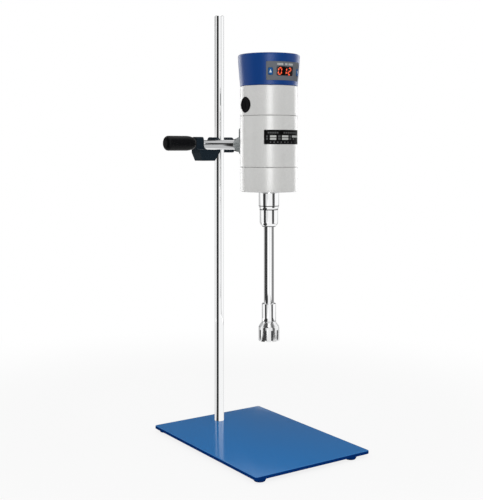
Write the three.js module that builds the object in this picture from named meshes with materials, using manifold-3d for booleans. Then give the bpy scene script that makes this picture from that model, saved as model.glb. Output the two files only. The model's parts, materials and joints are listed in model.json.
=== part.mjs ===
// Laboratory homogenizer: a motor with a rotor-stator tool, held on a plate stand by a cross clamp.
// Millimetres, +Z up, front towards -Y. The origin lies under the middle of the base plate.

import * as THREE from 'three';
import { mergeVertices } from 'three/addons/utils/BufferGeometryUtils.js';
import Module from 'manifold-3d';

const wasm = await Module();
wasm.setup();

// Clearances shared by all pieces
const gap = 0.3;
const slip = 0.4;
const room = 0.6;
const overrun = 2;
const weld = 0.0001;

// Facets of round pieces, from the motor casing down to a screw
const facets = { body: 36, medium: 24, inner: 16, small: 12, tiny: 8, crown: 30, wire: 4, corner: 2 };

// Stand
const plate = { width: 214, depth: 300, thick: 5, corner: 4, edge: 0.8 };
const foot = { height: 5, top: 10.5, sole: 8, left: 14, right: 30, inset: 11 };
const rod = { diameter: 16, back: 115, length: 695, edge: 1.2, spigot: 10, spigotLength: 4.4 };

// Cross clamp, about the crossing of the two rods
const clamp = {
  height: 483, // of the cross rod's axis above the table
  offset: 24, // between the axes of the two rods
  cheekFront: 17,
  cheekBack: 14.5,
  cheekLift: 13,
  cheekCrown: 8,
  cheekToe: 3,
  outerCheek: 9.7,
  outerCheekFront: 20,
  bridgeLift: 11,
  webFront: 15.3,
  webDrop: 27,
  webDraftLeft: 5,
  webDraftRight: 8,
  webDraftEnd: 2.4,
  hookOuter: 14,
  tongueFront: 3.5,
  tongueLift: 13.6,
  tongueCrown: 5,
  webShoulder: 0.6,
  fillet: 3,
};
const screw = { diameter: 8, lift: 2.6, side: 3.8, padDiameter: 7, padThick: 2, exposed: 10, pocket: 16 };
const handle = { diameter: 25, length: 56, neck: 12, taper: 17, end: 6, standOff: 1 };

// Cross rod and its flange on the motor
const arm = { diameter: 16, tail: 15, edge: 1, spigot: 12, spigotLength: 22 };
const flange = {
  tip: 17.8, knee: 25, kneeLength: 7.5, root: 32, cone: 39, thick: 3.3, width: 48, height: 43, lift: 5.3, corner: 5,
};
const flangeScrew = { inset: 5.6, head: 7, headThick: 3, shank: 4, depth: 8 };

// Motor casing
const casing = { diameter: 88.7, wall: 4.35, chamfer: 1, reach: 180.3, armAbove: 72.6, padStand: 0.35 };
const nose = { height: 37.7, floor: 6, recess: 26, recessDepth: 4, seatFloor: 2.5, hub: 35, vents: 8 };
const vent = { inner: 22, outer: 36, width: 4 };
const shell = { height: 78.4 };
const padRootShare = 0.8;
const brushCase = { height: 45.5, brushRise: 16.5, glandRise: 23 };
const head = { height: 48.8, flare: 3.35, wall: 3, round: 5 };
const headHeightShares = [0, 0.16, 0.38, 0.635, 0.89];
const headFlareShares = [0, 0.2, 0.52, 0.79, 1];

// What the front of the head and of the casing carries
const panel = { bottom: 7, height: 28, thick: 1.2, halfAngle: 40.5 };
const lens = { bottom: 14, height: 13.5, halfAngle: 18.2, turn: -2.5, ledge: 0.8 };
const button = { width: 6.6, height: 10.6, corner: 1.2, angle: 32.5, proud: 0.6, depth: 7 };
const buttonRiseShare = 0.47;
const label = { bottom: 34.9, height: 21.5, thick: 0.5, halfAngle: 45 };
const board = { thick: 1.6, setBack: 14, bottom: 6, height: 30 };
const digits = { width: 23, height: 12.6, depth: 9.5 };

// Rear of the head and of the brush housing
const rocker = {
  width: 10.6, height: 17, frame: 2, lip: 4, flange: 1.2, depth: 13, proud: 2.2, floor: 3, tilt: 8, dip: 1.6, boss: 0.8,
};
const gland = { diameter: 14, bore: 5.6, flare: 1.2, nut: 19, nutThick: 5, length: 19.1, proud: 15 };

// Motor inside
const shaft = { diameter: 10, room: 1.5, below: 18.7 };
const bearing = { diameter: 26, height: 8, race: 2.2, step: 0.6 };
const bridge = { thick: 5, rise: 29, hub: 34, hole: 13, blockInner: 18, blockWidth: 8 };
const stator = { bottom: 13.9, height: 45, bore: 48.6 };
const coil = { inner: 24, thick: 6, slotNear: 15, slotWide: 8, overhang: 7.7 };
const armature = { diameter: 47.6, height: 43, slots: 10, slotWidth: 4, slotDepth: 6.8 };
const winding = { diameter: 43, inner: 18, overhang: 9.7, barDepth: 4 };
const commutator = { diameter: 26, length: 17, riser: 31, riserLength: 4, bars: 12, cut: 0.8, cutDepth: 0.8 };
const fan = { rise: 20, diameter: 60, hub: 18, web: 2, blade: 12, bladeThick: 1.6, blades: 8 };
const bolt = { spread: 34, diameter: 4.4, head: 8.4, headThick: 3.6, depth: 4 };
const brush = { width: 6, height: 8, length: 13.6, holderWall: 1.2, holderInner: 16 };
const spring = { diameter: 4.8, wire: 0.8, turns: 6 };
const brushCap = { diameter: 24, length: 6.1, proud: 0.6, edge: 0.8 };

// Tool
const sleeve = {
  diameter: 32.3, length: 21.6, bore: 18, neck: 31, neckLength: 5.5, thread: 24, threadLength: 14,
};
const collar = { diameter: 29, length: 26.7, taper: 8.6, lip: 20.6, bulge: 0.71 };
const tube = { diameter: 16, wall: 1.6, end: 184, flange: 23, flangeThick: 3.3 };
const coupling = { diameter: 15, length: 22, top: 8, socket: 11 };
const drive = { diameter: 6, hex: 5.7, hexLength: 26, top: 20.5, end: 222 };
const bush = { length: 12, upper: 52, running: 0.2 };
const ferrule = { diameter: 22.4, length: 27, edge: 1, overlap: 12, spigot: 18, spigotLength: 5 };
const crown = { diameter: 32.4, length: 29.8, neckLength: 1.6, flareLength: 5.4, bore: 25.2, teeth: 10 };
const crownSlot = { width: 3.2, height: 17.4, roof: 5.2 };
const rotor = { clearance: 0.5, lift: 1, wall: 2.5, web: 2.5, hub: 11, slots: 6, slotWidth: 4, base: 2 };

// Places worked out from the sizes above
const plateTop = foot.height + plate.thick;
const rodSeat = plateTop + gap;
const casingRadius = casing.diameter / 2;
const casingBore = casingRadius - casing.wall;
const shellBottom = nose.height;
const brushBottom = shellBottom + shell.height;
const headBottom = brushBottom + brushCase.height;
const headTop = headBottom + head.height;
const brushAxis = brushBottom + brushCase.brushRise;
const glandAxis = brushBottom + brushCase.glandRise;
const buttonAxis = headBottom + panel.bottom + panel.height * buttonRiseShare;
const padFace = casingRadius + casing.padStand;
const flangeFace = padFace + gap;
const coneFoot = flangeFace + flange.thick;
const coneTip = coneFoot + flange.cone;
const flangeMiddle = casing.armAbove + flange.lift;
const shaftHole = shaft.diameter / 2 + shaft.room;
const bearingSeat = nose.recessDepth + nose.seatFloor;
const bridgeBottom = brushBottom + bridge.rise;
const statorBottom = shellBottom + stator.bottom;
const statorTop = statorBottom + stator.height;
const armatureBottom = statorBottom + (stator.height - armature.height) / 2;
const armatureTop = armatureBottom + armature.height;
const sleeveBottom = -sleeve.length;
const collarTop = sleeveBottom - sleeve.neckLength;
const threadBottom = collarTop - sleeve.threadLength;
const flangeTop = threadBottom - gap;
const flangeBottom = flangeTop - tube.flangeThick;
const ferruleTop = -tube.end - gap + ferrule.overlap;
const drivePassage = drive.diameter / 2 + room;
const crownTop = ferruleTop - ferrule.length - gap;
const front = -Math.PI / 2;
const radians = Math.PI / 180;

// A merged, outward-facing copy of a closed surface, without its collapsed triangles
function tidy(geometry) {
  const bare = geometry.clone();
  bare.deleteAttribute('normal');
  bare.deleteAttribute('uv');
  const merged = mergeVertices(bare, weld);
  const points = merged.getAttribute('position');
  const source = merged.getIndex().array;
  const corners = [new THREE.Vector3(), new THREE.Vector3(), new THREE.Vector3()];
  const kept = [];
  let volume = 0;
  for (let i = 0; i < source.length; i += 3) {
    const [a, b, c] = [source[i], source[i + 1], source[i + 2]];
    if (a === b || b === c || c === a) continue;
    kept.push([a, b, c]);
    [a, b, c].forEach((index, k) => corners[k].fromBufferAttribute(points, index));
    volume += corners[0].dot(corners[1].cross(corners[2]));
  }
  if (volume < 0) kept.forEach((triangle) => triangle.reverse());
  const result = new THREE.BufferGeometry();
  result.setAttribute('position', points.clone());
  result.setIndex(kept.flat());
  return result;
}

function toSolid(geometry) {
  const closed = tidy(geometry);
  const vertProperties = new Float32Array(closed.getAttribute('position').array);
  const triVerts = new Uint32Array(closed.getIndex().array);
  return new wasm.Manifold(new wasm.Mesh({ numProp: 3, vertProperties, triVerts }));
}

function toGeometry(solid) {
  const mesh = solid.getMesh();
  const geometry = new THREE.BufferGeometry();
  geometry.setAttribute('position', new THREE.BufferAttribute(new Float32Array(mesh.vertProperties), 3));
  geometry.setIndex(new THREE.BufferAttribute(new Uint32Array(mesh.triVerts), 1));
  return geometry;
}

// The first geometry with the joined ones added, and then the cut ones taken away
function shaped(base, joined = [], cuts = []) {
  let solid = toSolid(base);
  for (const geometry of joined) solid = solid.add(toSolid(geometry));
  for (const geometry of cuts) solid = solid.subtract(toSolid(geometry));
  return toGeometry(solid);
}

// Basic forms. Round ones stand on the Z axis; alongX and alongY lay them down.
function turned(profile, segments) {
  const points = profile.map(([r, z]) => new THREE.Vector2(r, z));
  return new THREE.LatheGeometry(points, segments).rotateX(Math.PI / 2);
}

function ring(profile, segments) {
  return turned([...profile, profile[0]], segments);
}

function disc(radius, bottom, top, segments) {
  return turned([[0, bottom], [radius, bottom], [radius, top], [0, top]], segments);
}

function block(x0, x1, y0, y1, z0, z1) {
  const box = new THREE.BoxGeometry(x1 - x0, y1 - y0, z1 - z0);
  return box.translate((x0 + x1) / 2, (y0 + y1) / 2, (z0 + z1) / 2);
}

function outline(points) {
  return new THREE.Shape(points.map(([x, y]) => new THREE.Vector2(x, y)));
}

function polygon(sides, radius) {
  return outline(Array.from({ length: sides }, (_, i) => [
    radius * Math.cos((i / sides) * Math.PI * 2),
    radius * Math.sin((i / sides) * Math.PI * 2),
  ]));
}

function prism(shape, bottom, top, curveSegments = facets.corner) {
  const options = { depth: top - bottom, bevelEnabled: false, curveSegments };
  const geometry = new THREE.ExtrudeGeometry(shape, options);
  return geometry.translate(0, 0, bottom);
}

// A rectangle whose top and bottom corners have their own radii
function roundedRectangle(left, right, low, high, topRadius, bottomRadius = topRadius) {
  const shape = new THREE.Shape();
  shape.moveTo(left + bottomRadius, low);
  shape.lineTo(right - bottomRadius, low);
  shape.absarc(right - bottomRadius, low + bottomRadius, bottomRadius, -Math.PI / 2, 0);
  shape.absarc(right - topRadius, high - topRadius, topRadius, 0, Math.PI / 2);
  shape.absarc(left + topRadius, high - topRadius, topRadius, Math.PI / 2, Math.PI);
  shape.absarc(left + bottomRadius, low + bottomRadius, bottomRadius, Math.PI, Math.PI * 1.5);
  return shape;
}

// Turns a prism so that its outline's x and y become Y and Z, and its length X
function alongX(geometry) {
  const [x, y, z] = [new THREE.Vector3(0, 1, 0), new THREE.Vector3(0, 0, 1), new THREE.Vector3(1, 0, 0)];
  return geometry.applyMatrix4(new THREE.Matrix4().makeBasis(x, y, z));
}

// Turns a prism so that its outline's x and y become X and Z, and its length runs towards -Y
function alongMinusY(geometry) {
  return geometry.rotateX(Math.PI / 2);
}

function alongY(geometry) {
  return geometry.rotateX(-Math.PI / 2);
}

// A closed body through outlines with the same number of points, from the lowest up
function loft(sections) {
  const count = sections[0].points.length;
  const positions = sections.flatMap(({ z, points }) => points.flatMap(([x, y]) => [x, y, z]));
  const triangles = [];
  for (let level = 0; level + 1 < sections.length; level += 1) {
    for (let i = 0; i < count; i += 1) {
      const [a, b] = [level * count + i, level * count + ((i + 1) % count)];
      triangles.push(a, b, b + count, a, b + count, a + count);
    }
  }
  const last = (sections.length - 1) * count;
  for (let i = 1; i + 1 < count; i += 1) {
    triangles.push(0, i + 1, i, last, last + i, last + i + 1);
  }
  const geometry = new THREE.BufferGeometry();
  geometry.setAttribute('position', new THREE.Float32BufferAttribute(positions, 3));
  geometry.setIndex(triangles);
  return geometry;
}

// Part of a turned body: a closed outline of [radius, z] swept from one angle to another
function sector(profile, from, to, steps) {
  const flat = profile.map(([r, z]) => new THREE.Vector2(r, z));
  if (THREE.ShapeUtils.isClockWise(flat)) flat.reverse();
  const count = flat.length;
  const positions = [];
  for (let step = 0; step <= steps; step += 1) {
    const angle = from + ((to - from) * step) / steps;
    flat.forEach((point) => positions.push(point.x * Math.cos(angle), point.x * Math.sin(angle), point.y));
  }
  const triangles = [];
  for (let step = 0; step < steps; step += 1) {
    for (let i = 0; i < count; i += 1) {
      const [a, b] = [step * count + i, step * count + ((i + 1) % count)];
      triangles.push(a, b + count, b, a, a + count, b + count);
    }
  }
  const last = steps * count;
  for (const [a, b, c] of THREE.ShapeUtils.triangulateShape(flat, [])) {
    triangles.push(a, b, c, last + c, last + b, last + a);
  }
  const geometry = new THREE.BufferGeometry();
  geometry.setAttribute('position', new THREE.Float32BufferAttribute(positions, 3));
  geometry.setIndex(triangles);
  return geometry;
}

// Nested groups: the clamp, the motor with its tool, all in the stand's frame
const homogenizer = new THREE.Group();
const crossClamp = new THREE.Group();
crossClamp.position.set(0, rod.back, clamp.height);
const motor = new THREE.Group();
motor.position.set(-clamp.offset, rod.back - casing.reach, clamp.height - casing.armAbove);
homogenizer.add(crossClamp, motor);

const finishes = {
  blueEnamel: [0x3d70a9, 0.25, 0.1],
  blueCover: [0x0a3c80, 0.4, 0],
  greyPaint: [0xc6c6c4, 0.45, 0.1],
  chrome: [0xd8dadc, 0.12, 1],
  casting: [0x1b2834, 0.55, 0.2],
  black: [0x101216, 0.45, 0],
  panelGrey: [0x73737d, 0.5, 0],
  glass: [0x0c0b0c, 0.15, 0],
  keyBlue: [0x2b5fa8, 0.4, 0],
  steel: [0x9a9da0, 0.35, 0.9],
  brass: [0xb08d4a, 0.35, 0.9],
  copper: [0xa8592f, 0.4, 0.8],
  carbon: [0x2b2b2d, 0.8, 0],
  circuit: [0x1f5a38, 0.6, 0],
  ivory: [0xd9d2bd, 0.55, 0],
};

function addPiece(parent, name, geometry, finish) {
  const [color, roughness, metalness] = finishes[finish];
  const material = new THREE.MeshStandardMaterial({ color, roughness, metalness });
  const mesh = new THREE.Mesh(tidy(geometry), material);
  mesh.name = name;
  parent.add(mesh);
  return mesh;
}

// Base plate with a round foot near each corner
function makeBasePlate() {
  const [halfWidth, halfDepth] = [plate.width / 2, plate.depth / 2];
  const shape = roundedRectangle(-halfWidth, halfWidth, -halfDepth, halfDepth, plate.corner);
  const bevel = {
    depth: plate.thick - plate.edge * 2,
    bevelThickness: plate.edge,
    bevelSize: plate.edge,
    bevelOffset: -plate.edge,
    bevelSegments: 2,
    curveSegments: facets.corner,
  };
  const slab = new THREE.ExtrudeGeometry(shape, bevel).translate(0, 0, foot.height + plate.edge);
  const feet = [];
  for (const x of [foot.left - halfWidth, halfWidth - foot.right]) {
    for (const y of [foot.inset - halfDepth, halfDepth - foot.inset]) {
      feet.push(turned([
        [0, 0],
        [foot.sole, 0],
        [foot.top, foot.height],
        [foot.top, plateTop - plate.edge * 2],
        [0, plateTop - plate.edge * 2],
      ], facets.medium).translate(x, y, 0));
    }
  }
  const hole = disc(rod.spigot / 2 + gap, -overrun, plateTop + overrun, facets.small)
    .translate(0, rod.back, 0);
  addPiece(homogenizer, 'base_plate', shaped(slab, feet, [hole]), 'blueEnamel');
}

function makeSupportRod() {
  const [radius, core] = [rod.diameter / 2, rod.spigot / 2];
  const top = plateTop + rod.length;
  const profile = [
    [0, rodSeat - rod.spigotLength],
    [core, rodSeat - rod.spigotLength],
    [core, rodSeat],
    [radius, rodSeat],
    [radius, top - rod.edge],
    [radius - rod.edge, top],
    [0, top],
  ];
  addPiece(homogenizer, 'support_rod', turned(profile, facets.medium).translate(0, rod.back, 0), 'chrome');
}

// Casting with a jaw round the upright rod and a hook that the cross rod lies in
function makeBossHead() {
  const rodBore = rod.diameter / 2 + gap;
  const armRoom = arm.diameter / 2 + slip;
  const innerFace = -clamp.offset + armRoom - gap;
  const hookInner = -clamp.offset - armRoom - room;
  const hookLeft = hookInner - clamp.hookOuter;
  const cheek = (from, to, frontReach) => {
    const shape = roundedRectangle(
      -frontReach, clamp.cheekBack, -clamp.cheekLift, clamp.cheekLift, clamp.cheekCrown, clamp.cheekToe,
    );
    return alongX(prism(shape, from, to));
  };
  const leftCheek = cheek(innerFace, -rodBore, clamp.cheekFront);
  const rightCheek = cheek(rodBore, rodBore + clamp.outerCheek, clamp.outerCheekFront);
  const bridgeBody = block(
    innerFace + overrun, rodBore + clamp.outerCheek - overrun,
    0, clamp.cheekBack, -clamp.bridgeLift, clamp.bridgeLift,
  );

  const hook = new THREE.Shape();
  const { tongueFront: lead, tongueCrown: crownRadius, fillet, webFront, webDrop, tongueLift } = clamp;
  const shoulder = -armRoom + clamp.webShoulder;
  hook.moveTo(clamp.cheekBack, -webDrop);
  hook.lineTo(clamp.cheekBack, tongueLift - crownRadius);
  hook.absarc(clamp.cheekBack - crownRadius, tongueLift - crownRadius, crownRadius, 0, Math.PI / 2);
  hook.absarc(-lead + crownRadius, tongueLift - crownRadius, crownRadius, Math.PI / 2, Math.PI);
  hook.absarc(-lead - fillet, shoulder + fillet, fillet, 0, -Math.PI / 2, true);
  hook.lineTo(-webFront, shoulder);
  hook.lineTo(-webFront, -webDrop);
  const tongue = alongX(prism(hook, hookLeft, innerFace));
  const web = block(
    hookLeft + overrun, -rodBore, -webFront, clamp.cheekBack, -webDrop, shoulder - clamp.webShoulder / 2,
  );

  const levels = [[1, -webDrop], [0, -clamp.cheekLift], [0, tongueLift + overrun]];
  const draft = loft(levels.map(([share, z]) => {
    const left = hookLeft + share * clamp.webDraftLeft;
    const right = -rodBore - share * clamp.webDraftRight;
    const near = -webFront + share * clamp.webDraftEnd;
    const far = clamp.cheekBack - share * clamp.webDraftEnd;
    return { z, points: [[left, near], [right, near], [right, far], [left, far]] };
  }));
  const hookBody = toSolid(tongue).add(toSolid(web)).intersect(toSolid(draft));

  const trough = new THREE.Shape();
  const floorLeft = -armRoom - room;
  trough.moveTo(floorLeft, tongueLift + overrun);
  trough.lineTo(floorLeft, 0);
  trough.absarc(floorLeft + armRoom, 0, armRoom, Math.PI, Math.PI * 1.5);
  trough.absarc(0, 0, armRoom, -Math.PI / 2, 0);
  trough.lineTo(armRoom, tongueLift + overrun);
  const reach = clamp.outerCheekFront + overrun;
  const armCut = alongMinusY(prism(trough, -reach, reach, facets.corner * 2)).translate(-clamp.offset, 0, 0);
  const rodCut = disc(rodBore, -clamp.webDrop - overrun, clamp.cheekLift + overrun, facets.medium);
  const screwRadius = screw.diameter / 2 + slip;
  const armScrewCut = alongX(disc(screwRadius, hookLeft - overrun, hookInner + overrun, facets.small))
    .translate(0, screw.side, screw.lift);
  const rodScrewCut = alongX(
    disc(screwRadius, rodBore - overrun, rodBore + clamp.outerCheek + overrun, facets.small),
  );

  let body = hookBody.add(toSolid(leftCheek)).add(toSolid(rightCheek)).add(toSolid(bridgeBody));
  for (const cut of [armCut, rodCut, armScrewCut, rodScrewCut]) body = body.subtract(toSolid(cut));
  addPiece(crossClamp, 'boss_head', toGeometry(body), 'casting');
  return { rodBore, hookLeft, armFace: -clamp.offset - arm.diameter / 2 - gap };
}

// Pressure pad, screw and handle on the X axis, pointing away from the rod that they hold
function makeClampScrew(name, padFaceX, handleFaceX, direction, y, z) {
  const place = (geometry) => {
    alongX(geometry);
    if (direction < 0) geometry.rotateZ(Math.PI);
    return geometry.translate(0, y, z);
  };
  const padEnd = padFaceX + screw.padThick;
  const pad = disc(screw.padDiameter / 2, padFaceX, padEnd, facets.small);
  addPiece(crossClamp, `${name}_pad`, place(pad), 'brass');
  const tip = padEnd + gap;
  const stem = disc(screw.diameter / 2, tip, handleFaceX + screw.pocket - gap, facets.small);
  addPiece(crossClamp, `${name}_screw`, place(stem), 'steel');

  const [full, neck, pocket] = [handle.diameter / 2, handle.neck / 2, screw.diameter / 2 + gap];
  const end = handleFaceX + handle.length;
  const pocketEnd = handleFaceX + screw.pocket;
  const profile = [[0, pocketEnd], [pocket, pocketEnd], [pocket, handleFaceX]];
  const taperSteps = 5;
  for (let i = 0; i <= taperSteps; i += 1) {
    const angle = (i / taperSteps) * (Math.PI / 2);
    profile.push([
      neck + (full - neck) * Math.sin(angle),
      handleFaceX + handle.taper * (1 - Math.cos(angle)),
    ]);
  }
  const endSteps = 3;
  for (let i = 0; i <= endSteps; i += 1) {
    const angle = (i / endSteps) * (Math.PI / 2);
    profile.push([
      full - handle.end * (1 - Math.cos(angle)),
      end - handle.end * (1 - Math.sin(angle)),
    ]);
  }
  profile.push([0, end]);
  addPiece(crossClamp, `${name}_handle`, place(turned(profile, facets.medium)), 'black');
}

function makeClampScrews({ rodBore, hookLeft, armFace }) {
  makeClampScrew('arm_clamp', -armFace, -hookLeft + handle.standOff, -1, screw.side, screw.lift);
  const cheekFace = rodBore + clamp.outerCheek;
  makeClampScrew('rod_clamp', rodBore, cheekFace + screw.exposed, 1, 0, 0);
}

// Cross rod, in the clamp's frame, with a spigot that sits in the flange's cone
function makeArmRod() {
  const [radius, core] = [arm.diameter / 2, arm.spigot / 2];
  const tip = casing.reach - coneTip - gap;
  const profile = [
    [0, -arm.tail],
    [radius - arm.edge, -arm.tail],
    [radius, -arm.tail + arm.edge],
    [radius, tip],
    [core, tip],
    [core, tip + arm.spigotLength],
    [0, tip + arm.spigotLength],
  ];
  const body = alongMinusY(turned(profile, facets.medium)).translate(-clamp.offset, 0, 0);
  addPiece(crossClamp, 'arm_rod', body, 'chrome');
}

// Flange with a cone, screwed to the pad on the motor casing
const flangeCorners = [[-1, -1], [1, -1], [1, 1], [-1, 1]].map(([sx, sz]) => [
  sx * (flange.width / 2 - flangeScrew.inset),
  flangeMiddle + sz * (flange.height / 2 - flangeScrew.inset),
]);

function flangePlate(margin, from, to) {
  const [halfWidth, halfHeight] = [flange.width / 2 + margin, flange.height / 2 + margin];
  const shape = roundedRectangle(-halfWidth, halfWidth, -halfHeight, halfHeight, flange.corner);
  return alongMinusY(prism(shape, -to, -from)).translate(0, 0, flangeMiddle);
}

function flangeHoles(radius, from, to) {
  return flangeCorners.map(([x, z]) => alongY(disc(radius, from, to, facets.tiny)).translate(x, 0, z));
}

function makeArmBracket() {
  const plateBody = flangePlate(0, flangeFace, coneFoot);
  const cone = alongY(turned([
    [0, flangeFace + flange.thick / 2],
    [flange.root / 2, flangeFace + flange.thick / 2],
    [flange.root / 2, coneFoot],
    [flange.knee / 2, coneTip - flange.kneeLength],
    [flange.tip / 2, coneTip],
    [0, coneTip],
  ], facets.medium)).translate(0, 0, casing.armAbove);
  const socketEnd = coneTip - arm.spigotLength - gap;
  const socket = alongY(disc(arm.spigot / 2 + gap, socketEnd, coneTip + overrun, facets.small))
    .translate(0, 0, casing.armAbove);
  const holes = flangeHoles(flangeScrew.shank / 2 + gap, flangeFace - overrun, coneFoot + overrun);
  addPiece(motor, 'arm_bracket', shaped(plateBody, [cone], [socket, ...holes]), 'greyPaint');

  const [shank, wide] = [flangeScrew.shank / 2, flangeScrew.head / 2];
  const seat = coneFoot + gap;
  flangeCorners.forEach(([x, z], index) => {
    const body = alongY(turned([
      [0, padFace - flangeScrew.depth + gap],
      [shank, padFace - flangeScrew.depth + gap],
      [shank, seat],
      [wide, seat],
      [wide, seat + flangeScrew.headThick],
      [0, seat + flangeScrew.headThick],
    ], facets.tiny)).translate(x, 0, z);
    addPiece(motor, `bracket_screw_${index + 1}`, body, 'steel');
  });
}

// Outer casing: nose with the lower bearing seat, shell round the stator, and brush housing
function casingTube(bottom, top) {
  const edge = casing.chamfer;
  return ring([
    [casingBore, bottom],
    [casingRadius - edge, bottom],
    [casingRadius, bottom + edge],
    [casingRadius, top - edge],
    [casingRadius - edge, top],
    [casingBore, top],
  ], facets.body);
}

function makeNose() {
  const top = nose.height - gap / 2;
  const edge = casing.chamfer;
  const pocket = bearing.diameter / 2 + gap;
  const rim = bearingSeat + gap + bearing.height;
  const body = ring([
    [shaftHole, nose.recessDepth],
    [nose.recess / 2, nose.recessDepth],
    [nose.recess / 2, 0],
    [casingRadius - edge, 0],
    [casingRadius, edge],
    [casingRadius, top - edge],
    [casingRadius - edge, top],
    [casingBore, top],
    [casingBore, nose.floor],
    [nose.hub / 2, nose.floor],
    [nose.hub / 2, rim],
    [pocket, rim],
    [pocket, bearingSeat],
    [shaftHole, bearingSeat],
  ], facets.body);
  const cuts = boltPlaces.map((y) => disc(
    bolt.diameter / 2 + gap, nose.floor - bolt.depth - gap, nose.floor + overrun, facets.tiny,
  ).translate(0, y, 0));
  for (let i = 0; i < nose.vents; i += 1) {
    const half = vent.width / 2;
    const slot = block(vent.inner, vent.outer, -half, half, -overrun, nose.floor + overrun);
    cuts.push(slot.rotateZ(((i + 0.5) / nose.vents) * Math.PI * 2));
  }
  addPiece(motor, 'nose_housing', shaped(body, [], cuts), 'greyPaint');
}

// A band that follows a turned surface, between two radii and two heights about the front
function band(inner, outer, bottom, top, halfAngle, steps) {
  const profile = [[inner, bottom], [outer, bottom], [outer, top], [inner, top]];
  return sector(profile, front - halfAngle, front + halfAngle, steps);
}

function makeShell() {
  const [bottom, top] = [shellBottom + gap / 2, brushBottom - gap / 2];
  const pad = flangePlate(0, casingBore * padRootShare, padFace);
  const bore = disc(casingBore, bottom - overrun, top + overrun, facets.body);
  const holes = flangeHoles(flangeScrew.shank / 2 + gap, padFace - flangeScrew.depth, padFace + overrun);
  const labelBottom = shellBottom + label.bottom;
  const labelTop = labelBottom + label.height;
  const labelAngle = label.halfAngle * radians;
  const margin = gap / casingRadius;
  const recess = band(
    casingRadius - label.thick - gap, casingRadius + overrun,
    labelBottom - gap, labelTop + gap, labelAngle + margin, facets.tiny,
  );
  const walls = shaped(casingTube(bottom, top), [pad], [bore, recess, ...holes]);
  addPiece(motor, 'motor_shell', walls, 'greyPaint');
  const plateBody = band(
    casingRadius - label.thick, casingRadius, labelBottom, labelTop, labelAngle, facets.small,
  );
  addPiece(motor, 'label_plate', plateBody, 'black');
}

function makeBrushHousing() {
  const body = casingTube(brushBottom + gap / 2, headBottom - gap / 2);
  const reach = casingRadius + overrun;
  const capHole = alongX(disc(brushCap.diameter / 2 + gap, -reach, reach, facets.medium))
    .translate(0, 0, brushAxis);
  const glandHole = alongY(disc(gland.diameter / 2 + gap, 0, reach, facets.small))
    .translate(0, 0, glandAxis);
  addPiece(motor, 'brush_housing', shaped(body, [], [capHole, glandHole]), 'greyPaint');
}

// Control head, flaring upwards, with what sits in its front
const headBase = headBottom + gap / 2;
const headRise = head.height - gap / 2;
const headProfile = headHeightShares.map((share, i) => [
  casingRadius + head.flare * headFlareShares[i],
  headBase + headRise * share,
]);

function headRadius(z) {
  const upper = headProfile.findIndex(([, height]) => height > z);
  if (upper < 1) return headProfile[upper === 0 ? 0 : headProfile.length - 1][0];
  const [[r0, z0], [r1, z1]] = [headProfile[upper - 1], headProfile[upper]];
  return r0 + ((r1 - r0) * (z - z0)) / (z1 - z0);
}

// A band in the head's surface, between two depths below it
function headBand(deep, shallow, bottom, top, halfAngle, steps) {
  const heights = [bottom, ...headProfile.map(([, z]) => z).filter((z) => z > bottom && z < top), top];
  const profile = [
    ...heights.map((z) => [headRadius(z) - shallow, z]),
    ...heights.reverse().map((z) => [headRadius(z) - deep, z]),
  ];
  return sector(profile, front - halfAngle, front + halfAngle, steps);
}

// A key's outline as a prism along its own radius
function keyPrism(margin, inner, outer, angle) {
  const [halfWidth, halfHeight] = [button.width / 2 + margin, button.height / 2 + margin];
  const shape = roundedRectangle(-halfWidth, halfWidth, -halfHeight, halfHeight, button.corner + margin);
  return alongMinusY(prism(shape, inner, outer)).rotateZ(angle).translate(0, 0, buttonAxis);
}

const keyAngles = { up_button: -button.angle * radians, down_button: button.angle * radians };

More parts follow.
